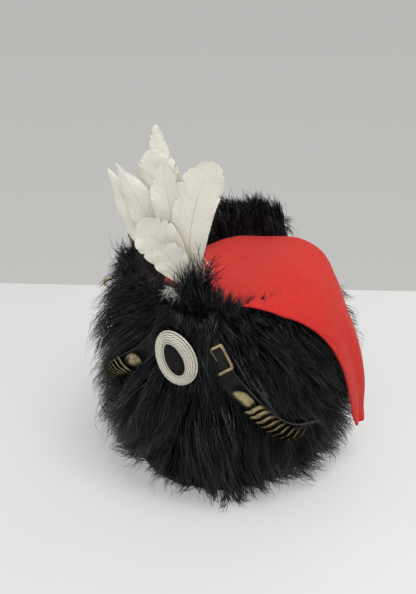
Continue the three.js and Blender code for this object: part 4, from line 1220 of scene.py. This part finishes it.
def buckle():
    """The buckle's frame: a bevelled section carried round a rectangle with round corners. The middle bar is
    a round rod between two posts that go down past the strap's edges, and the pin bends over it."""
    w, l, bar, t = BUCKLE["width"] / 2, BUCKLE["length"] / 2, BUCKLE["bar"], BUCKLE["thickness"]
    low = STRAP["thickness"] / 2 + GAP
    turn = circle(96)

    def oval(half_width, half_length):
        """The rectangle's line: cos and sin of the turn, each raised to the squared power."""
        across, along = np.cos(turn), np.sin(turn)
        return (
            np.sign(across) * half_width * np.abs(across) ** SQUARED,
            np.sign(along) * half_length * np.abs(along) ** SQUARED,
        )

    lines = [
        np.stack([*oval(w - part * bar, l - part * bar), np.full(len(turn), low + up * t)], 1)
        for part, up, _ in BUCKLE_SECTION
    ]
    # The section's painted shade at every point round the frame
    hollow = np.tile([row[2] for row in BUCKLE_SECTION], len(turn))
    faces = [ring_faces(len(turn), len(BUCKLE_SECTION), joined=True)]
    points, brass = set_on(np.stack(lines, 1), BUCKLE_AT), look_materials["buckle"]
    piece("buckle_brass", points, faces, brass, ["buckle_frame"], marks={"hollow": hollow})

    under = -STRAP["thickness"] / 2 - GAP - BUCKLE["bar_diameter"] / 2
    post = w - bar / 2
    right = ((post - 0.8, under), (post, under + 0.7), (post, low - 0.8), (post, low + t * 0.6))
    route = np.array([*((-x, 0, z) for x, z in right[::-1]), (0, 0, under), *((x, 0, z) for x, z in right)])
    route, radius = set_on(route, BUCKLE_AT), BUCKLE["bar_diameter"] / 2
    wire_piece("buckle_bar", route, radius, brass, "buckle_frame", 60, 12)
    top, end = low + t + GAP + 0.7, 0.5 - l
    bends = ((0.2, 0.7 - STRAP["thickness"] / 2), (0.1, low), (-1.5, low + 0.9), (-6.0, low + 1.6))
    route = np.array([(0, y, z) for y, z in (*bends, (end + 3.4, top), (end, top))])
    route, radius = set_on(route, BUCKLE_AT), PRONG_THICKNESS / 2
    wire_piece("buckle_tongue_pin", route, radius, brass, "buckle_prong", 48, 14, taper=0.75)


def wire_piece(name, route, radius, material, node, rows, around, taper=1.0):
    """A round wire along a line through the route's points. Its radius falls to the taper over its length,
    and as a quarter circle at both tips."""
    line, length = even_line(route, rows)
    run = np.linspace(0, length, rows)
    ends = np.minimum(run, length - run)
    size = radius * (1 - (1 - taper) * run / length)
    size = size * np.sqrt(np.clip(1 - (1 - np.clip(ends / radius, 0, 1)) ** 2, 0.04, 1))
    points = rod(line, size, (0.31, 0.52, 0.79), around)
    # A wire has no painted shade
    marks = {"hollow": np.zeros(rows * around)}
    piece(name, points, round_tube(rows, around), material, [node], marks=marks)


def scale_piece(name, size, tilt, place, material, seed):
    """A scale as a closed plate on a grid: across it the root and the tip follow a round outline, with a
    notch between the two lobes of a free end. It is arched across as 1 - side^2, swells along its middle, has
    shallow dents, and thins to its rim as the square root of 1 - reach^6."""
    columns, rows = 25, 15
    side = np.sin(np.linspace(-np.pi / 2, np.pi / 2, columns))
    short = 1 - np.sqrt(1 - (0.985 * side) ** 2)
    root = size["length"] * size["root_round"] * short
    tip = size["length"] * (1 - size["tip_round"] * short)
    tip = tip - size["notch"] * bell(side, 0, size["notch_width"])
    share = (1 - np.cos(np.linspace(0, np.pi, rows)))[:, None] / 2
    y = root[None, :] + (tip - root)[None, :] * share
    x = np.broadcast_to(side * size["half_width"], y.shape)
    reach = np.maximum(np.abs(2 * share - 1), np.abs(side)[None, :])
    swell = SCALE_FORM["swell"] * np.sin(np.pi * share) * (1 - side[None, :] ** 2)
    lobes = SCALE_FORM["lobes"] * share * (bell(np.abs(side), 0.5, 0.28)[None, :] - 0.4) * (size["notch"] > 0)
    dents = SCALE_FORM["dents"] * np.sin(x * 1.3 + seed) * np.sin(y * 0.9 + 2 * seed)
    z = size["dome"] * (1 - side[None, :] ** 2) + swell + lobes + dents
    edge = np.sqrt(np.clip(1 - reach**6, 0.02, 1))
    above = np.stack([x, y, z + size["thickness"] * (0.5 + 0.5 * edge)], -1)
    below = np.stack([x, y, z + size["thickness"] * (0.5 - 0.5 * edge)], -1)
    x, y, z = np.moveaxis(np.concatenate([above, below[:, ::-1]], 1), -1, 0)
    turned = (x, y * np.cos(tilt) - z * np.sin(tilt), y * np.sin(tilt) + z * np.cos(tilt))
    points = set_on(np.stack(turned, -1), place)
    # Painted shade round the rim, at the root under the scale before it, and darkest on the underside
    rimmed = ease(0.82, 0.98, reach) * 0.75
    at_root = 0.6 * (1 - ease(0.15, 0.55, share)) * (size["notch"] > 0)
    hollow = np.maximum(rimmed, at_root)
    marks = {"hollow": np.concatenate([hollow, np.full(hollow.shape, 0.9)], 1)}
    faces = flat_tube(rows, 2 * columns)
    piece("plate_" + name, points, faces, material, [name], marks=marks)


def scales(side):
    """One run of scales along its strap, from the long one near the front outwards."""
    run = SCALE_RUNS[side]
    frames = TONGUE if run["route"] == "tongue" else SCALED
    for i in range(run["scales"] + 1):
        size, name = (SCALE, f"scale_{side}_{i}") if i else (END_SCALE, f"scale_{side}_end")
        gone = SCALE_SPACING["first"] + (i - 1) * SCALE_SPACING["others"] if i else 0
        place = frame_at(frames, run["start"] + run["direction"] * (gone + size["length"]) / frames["length"])
        place["at"] = place["at"] + place["out"] * (STRAP["thickness"] / 2 + GAP)
        place["along"] = -place["along"] * run["direction"]
        place["across"] = -place["across"] * run["direction"]
        more = (run["most_tilt"] - SCALE["tilt"]) * max(i - 1, 0) / (run["scales"] - 1)
        tilt = np.radians(size["tilt"] + more)
        scale_piece(name, size, tilt, place, look_materials["scale"], i * 1.7 + len(side))


# ---- Boss ----


def boss_dome(share):
    """The rings' height: a part of a half wave from the outer ring to the inner one."""
    return BOSS_RINGS["dome"] * np.sin(np.pi * (0.15 + 0.7 * share))


def boss_line(inset, steps):
    """A closed line round the boss at insets from its edge, one row each: an oval whose half width is less by
    the narrowing times the way up, and whose middle drifts with the inset."""
    turn = circle(steps)
    inset = np.asarray(inset, float)[:, None]
    drift = np.clip(inset / (BOSS_RINGS["count"] * BOSS_RINGS["pitch"]), 0, 1)
    across = np.cos(turn) * (BOSS["half_width"] - inset) * (1 - BOSS["narrowing"] * np.sin(turn))
    along = np.sin(turn) * (BOSS["half_height"] - inset)
    return np.stack([across + BOSS["drift_across"] * drift, along + BOSS["drift_along"] * drift], -1)


def boss_cord(look, index):
    """One ring of laid cord. Its section has three plies that turn as it goes round: the radius is the cord's
    own times 1 + relief * cos(3 * turn - twist). The cord fills its share of the room between its
    neighbours."""
    middles = BOSS_RINGS["cord"] / 2 + np.array([index - 0.5, index, index + 0.5]) * BOSS_RINGS["pitch"]
    height = BOSS["backing"] + GAP + boss_dome(index / (BOSS_RINGS["count"] - 1))
    steps, around = look.cord_steps, 9
    outer, line, inner = boss_line(middles, steps)
    room = np.linalg.norm(outer - inner, axis=1)
    along = np.roll(line, -1, 0) - np.roll(line, 1, 0)
    outward = unit(np.stack([along[:, 1], -along[:, 0], np.zeros(steps)], 1))
    run = np.cumsum(np.linalg.norm(along, axis=1)) / 2
    twists = round(run[-1] / look.cord_lay)
    turn = circle(around)
    phase = 3 * turn[None, :] - (2 * np.pi * twists * run / run[-1])[:, None]
    size = (room * look.cord_fill / 2)[:, None] * (1 + look.cord_relief * np.cos(phase))
    across = np.cos(turn)[None, :, None] * outward[:, None, :]
    up = np.sin(turn)[None, :, None] * np.array([0, 0, 1.0])
    local = np.c_[line, np.full(steps, height)][:, None, :] + size[..., None] * (across + up)
    points, faces = set_on(local, BOSS_AT), [ring_faces(steps, around, joined=True)]
    # The mark is 1 on each ply's crest, painted as a highlight, and 0 between plies, painted as shade
    name, marks = f"boss_cord_{index + 1}", {"lay": 0.5 + 0.5 * np.cos(phase)}
    piece(f"laid_{name}", points, faces, look_materials["cord"], [name], marks=marks)


def boss_cloth():
    """The boss's black cloth: rings of an oval whose insets and heights follow its plate, the groove under
    the cords and the low dome inside them."""
    inner, backing = BOSS_RINGS["count"] * BOSS_RINGS["pitch"], BOSS["backing"]

    def under(share):
        """The groove's height under the ring at a share of the way in."""
        return backing + boss_dome(share) - BOSS_RINGS["cord"] / 2 - GAP

    inset, height = np.array(
        [
            (0.75, 0.0), (0.6, 0.4), (0.6, under(0) - 0.2), (0.9, under(0)),
            (inner * 0.25, (under(0) + under(0.5)) / 2), (inner * 0.5, under(0.5)),
            (inner * 0.8, under(0.8)), (inner + 0.5, under(1)), (inner + 0.6, backing + 2.4),
            (inner + 2.0, backing + 3.3), (inner + 3.5, backing + 3.8),
            (BOSS["half_width"] - 1.2, backing + 4.3), (BOSS["half_width"] - 0.2, backing + 4.4),
        ]
    ).T
    rows, around = len(inset), 96
    heights = np.broadcast_to(height[:, None, None], (rows, around, 1))
    points = set_on(np.concatenate([boss_line(inset, around), heights], -1), BOSS_AT)
    faces = round_tube(rows, around)
    piece("boss_cloth", points, faces, look_materials["black_cloth"], ["boss_core"])


# ---- Plume ----


def feather_line(row, t):
    """The quill's line, a quadratic curve from root to tip whose middle is bowed sideways: its points, and
    the way to its right, all in the plume's plane."""
    root, tip_across, tip_height, bow = row[:4]
    start, end = np.array([root, 0.0, PLUME["root_height"]]), np.array([tip_across, 0.0, tip_height])
    sideways = unit(np.array([end[2] - start[2], 0, start[0] - end[0]]))
    middle = (start + end) / 2 + sideways * bow * 2
    t = np.asarray(t)[..., None]
    at = (1 - t) ** 2 * start + 2 * t * (1 - t) * middle + t**2 * end
    along = unit(2 * (1 - t) * (middle - start) + 2 * t * (end - middle))
    return at, np.stack([along[..., 2], 0 * along[..., 0], -along[..., 0]], -1)


def feather_outline(row, point, power, t):
    """Half the vane's width: a quarter sine wave to a power up to its widest place, then a quarter circle to
    a round tip, or nearly a straight edge to a pointed one."""
    half, widest = row[4:]
    lower = np.sin(np.pi / 2 * np.clip(t / widest, 0, 1)) ** power
    rest = np.clip(0.985 * (t - widest) / (1 - widest), 0, 1)
    upper = (1 - rest ** (2 - 0.5 * point)) ** (0.5 + 0.5 * point)
    return half * np.where(t < widest, lower, upper)


def feather(look, index, name, row, rng):
    """A vane on a grid of barbs: a row is one barb each side of the quill, swept up towards the tip by the
    distance out. Barbs end at the outline times a ragged factor, with deeper notches where the vane has
    split. The vane bows off its line as half a sine wave, leans and comes down by the square of the way up,
    is cupped, and ripples towards its edges. The quill is a tapered rod along it."""
    barbs, columns = 190, 17
    v = np.sin(np.linspace(-np.pi / 2, np.pi / 2, columns)) * 0.75 + np.linspace(-1, 1, columns) * 0.25
    t = np.linspace(0.0, 1.0, barbs)
    out = np.abs(v[None, :])
    sweep = 0.3 * (1 - t) ** 0.7 * ease(0.0, 0.4, t)
    swept = t[:, None] + out**1.2 * sweep[:, None]
    swept = np.minimum(swept, 1 - 1e-3 * (1 - t[:, None]))
    point, power, width, bow, lean, drop = VANES[name]
    outline = np.maximum(width * feather_outline(row, point, power, swept), 0.9)
    ragged = 1 - look.ragged * (1 + 3 * ease(0.6, 0.95, t))[:, None] * rng.uniform(0, 1, (barbs, 2)) ** 2
    notches = np.ones((barbs, 2))
    for side in range(2):
        splits = rng.integers(1, 5)
        places = rng.uniform(0.45, 1.0, splits)
        depths = rng.uniform(0.08, 0.28, splits) * look.split
        widths = rng.uniform(0.006, 0.02, splits)
        for place, deep, wide in zip(places, depths, widths):
            notches[:, side] -= deep * bell(t, place, wide)
    trim = np.where(v[None, :] < 0, (ragged * notches)[:, :1], (ragged * notches)[:, 1:])
    trim = 1 - (1 - trim) * out**2
    at, right = feather_line(row, swept)
    across = v[None, :] * outline * trim - bow * np.sin(np.pi * swept)
    points = at + right * across[..., None] - swept[..., None] ** 2 * (lean, 0, drop)
    y = PLUME["y"] - (len(FEATHERS) - 1) / 2 * PLUME["spacing"] + index * PLUME["spacing"]
    fan = (index - (len(FEATHERS) - 1) / 2) * look.fan * swept**2
    cup = -look.cup * out**1.6 * ease(0.15, 0.6, swept) * (1 if index < FRONT_FEATHERS else -0.6)
    waves = np.sin(swept * 26 + rng.uniform(0, 6.3) + 2 * v[None, :])
    ripple = look.ripple * out**2 * waves * ease(0.3, 0.8, swept)
    furrow = 0.06 * np.sin(t[:, None] * 150 + rng.normal(0, 1.0, (barbs, 1))) * out
    points[..., 1] = y + fan + cup + ripple + furrow
    points = points + np.array([PLUME["x"], 0, 0]) + CENTRE
    half = VANE_HALF * np.sqrt(np.clip(1 - v**8, 0.05, 1))[None, :, None] * np.array([0, 1.0, 0])
    solid = np.concatenate([points - half, (points + half)[:, ::-1]], 1)
    around = 2 * columns
    length = math.dist((row[0], PLUME["root_height"]), (row[1], row[2]))
    both = np.concatenate([v, v[::-1]])
    uv = np.stack(np.broadcast_arrays(both[None, :] + index * 7.3, (t * length)[:, None]), -1)
    marks = {"base": np.broadcast_to((1 - ease(0.05, 0.5, t))[:, None], (barbs, around))}
    material, faces, node = look_materials["feather"], flat_tube(barbs, around), f"feather_{name}"
    piece(f"vane_{name}", solid, faces, material, [node], uv=uv, marks=marks)
    places = np.linspace(0, 0.93, 60) * (barbs - 1)
    i, middle = np.floor(places).astype(int), columns // 2
    line = points[i, middle] * (i + 1 - places)[:, None] + points[i + 1, middle] * (places - i)[:, None]
    quill_piece(f"quill_{name}", line + np.array([0, -0.15, 0]), node)


def quill_piece(name, line, node):
    """A feather's shaft: a tapered rod, from 1.1 mm at its root to a hair at its tip."""
    rows, around = len(line), 8
    size = QUILL["over"] * (1 - np.linspace(0, 1, rows)) ** 0.8 + QUILL["tip"]
    points = rod(line, size, (0.0, 1.0, 0.0), around)
    piece(name, points, round_tube(rows, around), look_materials["quill"], [node])


def tuft(name, rng, start, row, material):
    """Loose hairs or barbs from one place, from one row of PLUME_TUFTS. Each goes from its root along its own
    aim, and bends by the square of the way along."""
    count, middle, spread, aim, aim_spread, length, radius, bend, node = row
    t = np.array([0.0, 0.3, 0.6, 0.85, 1.0])[None, :, None]
    root = np.asarray(start + middle) + rng.normal(0, 1, (count, 3)) * spread
    way = unit(np.asarray(aim) + rng.normal(0, 1, (count, 3)) * aim_spread)
    size = length * rng.uniform(0.55, 1.1, count)
    curve = rng.normal(0, 1, (count, 3)) * bend + np.array([0, 0, -bend])
    paths = root[:, None, :] + way[:, None, :] * (size[:, None, None] * t) + curve[:, None, :] * t**2
    radii = radius * rng.uniform(0.7, 1.3, count)[:, None] * np.array([0.8, 1.0, 0.9, 0.6, 0.0])[None, :]
    hair_mesh(name, paths, radii, rng.uniform(0, 1, count), material, node)


# ---- Stage ----


def put(name, data, place=(0, 0, 0), turned=(0, 0, 0)):
    """An object of the given data in the scene."""
    made = bpy.data.objects.new(name, data)
    made.location, made.rotation_euler = place, turned
    bpy.context.scene.collection.objects.link(made)
    return made


def stage_floor(look):
    """A pale painted floor, a grid in the camera's direction. It glows a little, so that it stays pale under
    soft light."""
    paint = Finish("floor paint", {"Specular IOR Level": 0.3, "Emission Strength": look.glow})
    speck, grain = paint.noise(3.0, 5.0, 0.6), paint.noise(240.0, 3.0, 0.6)
    near, far = full(look.floor), full(shaded(look.floor, 0.97))
    finish = {
        "Base Color": paint.mix(paint.range(speck, 0.3, 0.7, 0.0, 1.0), near, far),
        "Emission Color": near,
        "Roughness": paint.range(grain, 0.3, 0.7, 0.5, 0.62),
        "Normal": paint.bump(grain, 0.05, 0.0004),
    }
    half, count, turned = FLOOR["half_width"], FLOOR["points"], math.radians(CAMERA["turn"])
    sides, ahead = np.meshgrid(np.linspace(-half, half, count), np.linspace(0, 1, count), indexing="ij")
    ahead = -FLOOR["behind"] + ahead * (FLOOR["behind"] + FLOOR["far"] - FLOOR["slant"] * sides)
    x = CAMERA["at"][0] + sides * math.cos(turned) - ahead * math.sin(turned)
    y = CAMERA["at"][1] + sides * math.sin(turned) + ahead * math.cos(turned)
    points = np.stack([x, y, np.full(x.shape, FLOOR["height"])], -1).reshape(-1, 3)
    corner = (np.arange(count - 1)[:, None] * count + np.arange(count - 1)).ravel()
    quads = np.stack([corner, corner + count, corner + count + 1, corner + 1], -1)
    mesh = bpy.data.meshes.new("floor")
    mesh.from_pydata(points.tolist(), [], quads.tolist())
    mesh.materials.append(paint.done(finish))
    put("floor", mesh)


def surroundings(look):
    """The world behind the floor, a little darker overhead. Glossy faces mirror a room that is dark at the
    sides and bright overhead."""
    world = bpy.data.worlds.new("surroundings")
    world.use_nodes = True
    nodes, links = world.node_tree.nodes, world.node_tree.links
    back = nodes["Background"]
    back.inputs["Color"].default_value = full(look.wall)
    axes = nodes.new("ShaderNodeSeparateXYZ")
    links.new(nodes.new("ShaderNodeTexCoord").outputs["Generated"], axes.inputs[0])
    strength = nodes.new("ShaderNodeMix")
    links.new(nodes.new("ShaderNodeLightPath").outputs["Is Glossy Ray"], strength.inputs[0])
    seen, mirrored = (-0.38, 0.0, 1.08, 0.97), (0.4, 0.9, look.mirrored_low, look.mirrored_high)
    for slot, values in ((2, seen), (3, mirrored)):
        fade = nodes.new("ShaderNodeMapRange")
        for name, value in zip(("From Min", "From Max", "To Min", "To Max"), values):
            fade.inputs[name].default_value = value
        links.new(axes.outputs["Z"], fade.inputs["Value"])
        links.new(fade.outputs[0], strength.inputs[slot])
    links.new(strength.outputs[0], back.inputs["Strength"])
    bpy.context.scene.world = world


# ---- Settings ----


def colour(name, description, default):
    """A setting that holds a colour."""
    return FloatVectorProperty(
        name=name, description=description, default=default, subtype="COLOR", size=3, min=0, max=1
    )


def number(name, description, default, **more):
    """A setting that holds a number."""
    return FloatProperty(name=name, description=description, default=default, **more)


def whole(name, description, default):
    """A setting that holds a whole number."""
    return IntProperty(name=name, description=description, default=default)


class BusbyFur(bpy.types.PropertyGroup):
    """The fur's hairs."""

    seed: whole("Seed", "Starting number of the hairs' places", 7)
    lock_rows: whole("Lock rows", "Rows of locks up the cap", 23)
    lock_columns: whole("Lock columns", "Locks in a row round the cap", 78)
    hairs_in_lock: whole("Hairs in a lock", "Hairs in one lock", 13)
    lock_spread: number("Lock spread", "Spread of a lock's roots, mm", 4.6)
    hair_length: number("Hair length", "Length along the cap, mm", 58.0)
    hair_radius: number("Hair radius", "Radius at the root, mm", 0.32)
    unruly: number("Unruliness", "Spread of the locks' leans", 0.13, subtype="ANGLE")
    stray: number("Stray hairs", "Part of the hairs that stray from their lock", 0.06, subtype="FACTOR")
    root_part: number("Root depth", "The roots' place as a part of the fur's depth", 0.42, subtype="FACTOR")
    index: number("Refractive index", "Refractive index of the hairs", 1.66)
    gloss_tint: colour("Gloss tint", "Colour of the hairs' gloss", (0.88, 0.91, 1.0))
    glossiest: number("Strongest gloss", "Specular level of the lightest hairs", 1.0, subtype="FACTOR")
    gloss_low: number("Gloss", "Roughness of the lightest hairs", 0.16, subtype="FACTOR")
    gloss_high: number("Dullness", "Roughness of the darkest hairs", 0.34, subtype="FACTOR")
    fur_dark: colour("Dark hair", "Colour of the darkest hairs", (0.0008, 0.0008, 0.001))
    fur_light: colour("Light hair", "Colour of the lightest hairs", (0.004, 0.0043, 0.0056))


class BusbyCloth(bpy.types.PropertyGroup):
    """The bag and the crown."""

    fold: number("Fold", "Height of the fold down the hanging end, mm", 2.6)
    sheen: number("Sheen", "Strength of the nap's sheen", 0.12, subtype="FACTOR")
    felt: colour("Felt", "Colour of the felt", (0.525, 0.021, 0.016))
    felt_dark: colour("Dark felt", "Colour of the felt's dark fibres", (0.45, 0.015, 0.012))
    felt_light: colour("Light felt", "Colour of the felt's light fibres", (0.6, 0.04, 0.031))


class BusbyTrim(bpy.types.PropertyGroup):
    """The strap, its brass and the boss."""

    leather: colour("Leather", "Colour of the leather", (0.0045, 0.0045, 0.0052))
    leather_edge: colour("Leather edge", "Colour of the rubbed edges", (0.06, 0.058, 0.057))
    brass: colour("Brass", "Colour of the rubbed brass", (0.47, 0.39, 0.212))
    # The dark brass colours both stains and painted shade
    brass_stain_and_shade: colour("Dark brass", "Colour of the brass where it is dark", (0.055, 0.042, 0.02))
    brass_rough: number("Brass roughness", "Roughness where rubbed", 0.3, subtype="FACTOR")
    cord_steps: whole("Cord steps", "Sections of one ring of cord", 480)
    cord_lay: number("Cord lay", "Length of one ply's turn, mm", 3.9)
    cord_fill: number("Cord fullness", "The cord's width over its room", 0.82, subtype="FACTOR")
    cord_relief: number("Cord relief", "Depth between the plies", 0.3)
    cord: colour("Cord", "Colour of the cord", (0.80, 0.765, 0.64))
    # The cord's ridges and the lay between its plies are a painted highlight and painted shade
    cord_highlight: colour("Light cord", "Colour of the cord's ridges", (0.97, 0.945, 0.83))
    cord_soil_and_shade: colour("Dark cord", "Colour between the plies", (0.07, 0.065, 0.05))


class BusbyPlume(bpy.types.PropertyGroup):
    """The feathers."""

    seed: whole("Seed", "Starting number of the splits", 11)
    fan: number("Fan", "How far the tips stand apart, mm each", 1.6)
    cup: number("Cup", "How far a vane's edges curve, mm", 1.6)
    ripple: number("Ripple", "Height of the ripples at the edges, mm", 0.9)
    ragged: number("Ragged", "How uneven the barbs' ends are", 0.035, subtype="FACTOR")
    split: number("Split", "Depth of the splits in the vane", 1.0)
    feather: colour("Feather", "Colour of the barbs", (0.87, 0.85, 0.775))
    feather_light: colour("Light feather", "Colour of the lightest barbs", (0.96, 0.95, 0.90))
    feather_shade: colour("Feather shade", "Colour of the shaded barbs", (0.74, 0.715, 0.63))
    feather_base: colour("Feather base", "Colour near the quill's root", (0.74, 0.70, 0.58))
    quill: colour("Quill", "Colour of the shaft", (0.50, 0.38, 0.17))
    quill_light: colour("Light quill", "Colour of the shaft's light parts", (0.74, 0.66, 0.46))


class BusbyStage(bpy.types.PropertyGroup):
    """The floor, the lights and the camera."""

    floor: colour("Floor", "Colour of the floor", (0.44, 0.44, 0.437))
    glow: number("Floor glow", "Light that the pale floor gives by itself", 0.69)
    wall: colour("Surroundings", "Colour beyond the floor", (0.50, 0.497, 0.485))
    key: number("Key light", "Power of the key light", 11.5, unit="POWER")
    fill: number("Fill lights", "Power of the fill lights", 3.0, unit="POWER")
    window: number("Window light", "Power of the light at the right", 2.6, unit="POWER")
    front: number("Front light", "Power of the front light", 6.0, unit="POWER")
    mirrored_low: number("Mirrored sides", "Strength of the sides as glossy faces mirror them", 0.06)
    mirrored_high: number("Mirrored ceiling", "Strength overhead as glossy faces mirror it", 2.4)


GROUPS = {
    "busby_fur": BusbyFur,
    "busby_cloth": BusbyCloth,
    "busby_trim": BusbyTrim,
    "busby_plume": BusbyPlume,
    "busby_stage": BusbyStage,
}
# The finishes that an operator hands to its pieces
look_materials = {}


# ---- Operators ----


class BUSBY_OT_fur(bpy.types.Operator):
    """Make the undercoat and the fur's hairs"""

    bl_idname = "busby.fur"
    bl_label = "Fur"

    def execute(self, context):
        look = context.scene.busby_fur
        undercoat(look)
        fur(look)
        return {"FINISHED"}


class BUSBY_OT_bag(bpy.types.Operator):
    """Make the crown's cloth and the bag"""

    bl_idname = "busby.bag"
    bl_label = "Crown and bag"

    def execute(self, context):
        look = context.scene.busby_cloth
        look_materials["felt"] = felt_material(look)
        look_materials["lining"] = felt_material(look, "crown felt")
        crown()
        bag(look)
        return {"FINISHED"}


class BUSBY_OT_strap(bpy.types.Operator):
    """Make the two halves of the chin strap"""

    bl_idname = "busby.strap"
    bl_label = "Chin strap"

    def execute(self, context):
        look_materials["leather"] = leather_material(context.scene.busby_trim)
        strap_piece("tongue_leather", "strap_tongue", TONGUE)
        strap_piece("scaled_leather", "strap_scaled", SCALED)
        return {"FINISHED"}


class BUSBY_OT_buckle(bpy.types.Operator):
    """Make the buckle and its pin"""

    bl_idname = "busby.buckle"
    bl_label = "Buckle"

    def execute(self, context):
        look = context.scene.busby_trim
        look_materials["buckle"] = brass_material(look, "buckle brass", look.brass, 0.5)
        buckle()
        return {"FINISHED"}


class BUSBY_OT_scales(bpy.types.Operator):
    """Make the brass scales of both sides"""

    bl_idname = "busby.scales"
    bl_label = "Scales"

    def execute(self, context):
        look = context.scene.busby_trim
        # Each side gets its own copy of the brass; the right one is painted darker, as shade
        for side, patina_and_shade in SCALE_PATINA_AND_SHADE.items():
            look_materials["scale"] = brass_material(look, f"scale brass {side}", look.brass, patina_and_shade, 1.6)
            scales(side)
        return {"FINISHED"}


class BUSBY_OT_boss(bpy.types.Operator):
    """Make the boss's cloth and its rings of cord"""

    bl_idname = "busby.boss"
    bl_label = "Boss"

    def execute(self, context):
        look = context.scene.busby_trim
        look_materials["cord"] = cord_material(look)
        look_materials["black_cloth"] = black_cloth_material()
        boss_cloth()
        for index in range(BOSS_RINGS["count"]):
            boss_cord(look, index)
        return {"FINISHED"}


class BUSBY_OT_plume(bpy.types.Operator):
    """Make the feathers, the down at their roots and the hackle"""

    bl_idname = "busby.plume"
    bl_label = "Plume"

    def execute(self, context):
        look = context.scene.busby_plume
        rng = np.random.default_rng(look.seed)
        look_materials["feather"] = feather_material(look)
        look_materials["quill"] = quill_material(look)
        for index, (name, row) in enumerate(FEATHERS.items()):
            feather(look, index, name, row, rng)
        foot = CENTRE + (PLUME["x"], PLUME["y"] - 8, PLUME["root_height"])
        hackle = CENTRE + (HACKLE["x"], HACKLE["y"], HACKLE["height"])
        kinds = {
            "down": (foot, down_material(look), "feather"),
            "hackle": (hackle, fur_material(context.scene.busby_fur, "hackle barbs"), "hackle"),
        }
        for name, (kind, *row) in PLUME_TUFTS.items():
            start, material, slot = kinds[kind]
            tuft(name, rng, start, row, material)
        return {"FINISHED"}


class BUSBY_OT_wires(bpy.types.Operator):
    """Make the side hook, and give the plume's stem its finish"""

    bl_idname = "busby.wires"
    bl_label = "Hook and stem"

    def execute(self, context):
        look = context.scene.busby_trim
        bright = brass_material(look, "hook brass", (0.72, 0.5, 0.2), 0.3)
        angle, height = np.radians(HOOK["angle"]), HOOK["height"]
        around, up, out = fur_frame(angle, height)
        place = {"at": fur_point(angle, height), "across": around, "along": up, "out": out}
        bends = [(0, -down * HOOK["drop"], reach * HOOK["reach"]) for reach, down in HOOK_LINE]
        route = set_on(np.array([(0, 0, -HOOK["depth"]), (0, 0, 0), *bends]), place)
        wire_piece("hook_wire", route, HOOK["diameter"] / 2, bright, "side_hook", 60, 12)
        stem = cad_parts["plume_stem"]
        stem.data.materials.clear()
        stem.data.materials.append(brass_material(look, "stem brass", (0.45, 0.34, 0.16), 0.8))
        return {"FINISHED"}


class BUSBY_OT_stage(bpy.types.Operator):
    """Make the floor, the lights and the camera"""

    bl_idname = "busby.stage"
    bl_label = "Stage"

    def execute(self, context):
        look = context.scene.busby_stage
        stage_floor(look)
        surroundings(look)
        for name, place, target, size, power in LAMPS:
            lamp = bpy.data.lights.new(name, "AREA")
            lamp.energy, lamp.size = getattr(look, power), size
            turned = (Vector(target) - Vector(place)).to_track_quat("-Z", "Y").to_euler()
            put(name, lamp, place, turned)
        lens = bpy.data.cameras.new("camera")
        lens.sensor_width, lens.lens = CAMERA["sensor"], CAMERA["lens"]
        lens.clip_start, lens.clip_end = 0.01, 50.0
        turned = (math.radians(90 - CAMERA["down"]), 0, math.radians(CAMERA["turn"]))
        context.scene.camera = put("camera", lens, CAMERA["at"], turned)
        context.scene.view_settings.view_transform = "Standard"
        return {"FINISHED"}


class BUSBY_PT_pieces(bpy.types.Panel):
    """The busby's pieces, in the order they are made"""

    bl_label = "Busby"
    bl_idname = "BUSBY_PT_pieces"
    bl_space_type = "VIEW_3D"
    bl_region_type = "UI"
    bl_category = "Busby"

    def draw(self, context):
        for operator in OPERATORS:
            self.layout.operator(operator.bl_idname)
        for name, group in GROUPS.items():
            box = self.layout.box()
            box.label(text=group.__doc__)
            for key in group.__annotations__:
                box.prop(getattr(context.scene, name), key)


OPERATORS = (
    BUSBY_OT_stage,
    BUSBY_OT_fur,
    BUSBY_OT_bag,
    BUSBY_OT_strap,
    BUSBY_OT_buckle,
    BUSBY_OT_scales,
    BUSBY_OT_boss,
    BUSBY_OT_plume,
    BUSBY_OT_wires,
)


def register():
    """Makes Blender know the classes, and hangs the settings on the scene."""
    for group in (*GROUPS.values(), *OPERATORS, BUSBY_PT_pieces):
        bpy.utils.register_class(group)
    for name, group in GROUPS.items():
        setattr(bpy.types.Scene, name, PointerProperty(type=group))


def unregister():
    """Takes back what register does."""
    for name in GROUPS:
        delattr(bpy.types.Scene, name)
    for group in reversed((*GROUPS.values(), *OPERATORS, BUSBY_PT_pieces)):
        bpy.utils.unregister_class(group)


def main():
    """Makes every piece and the stage."""
    register()
    for operator in OPERATORS:
        group, name = operator.bl_idname.split(".")
        getattr(getattr(bpy.ops, group), name)()


if __name__ == "__main__":
    main()
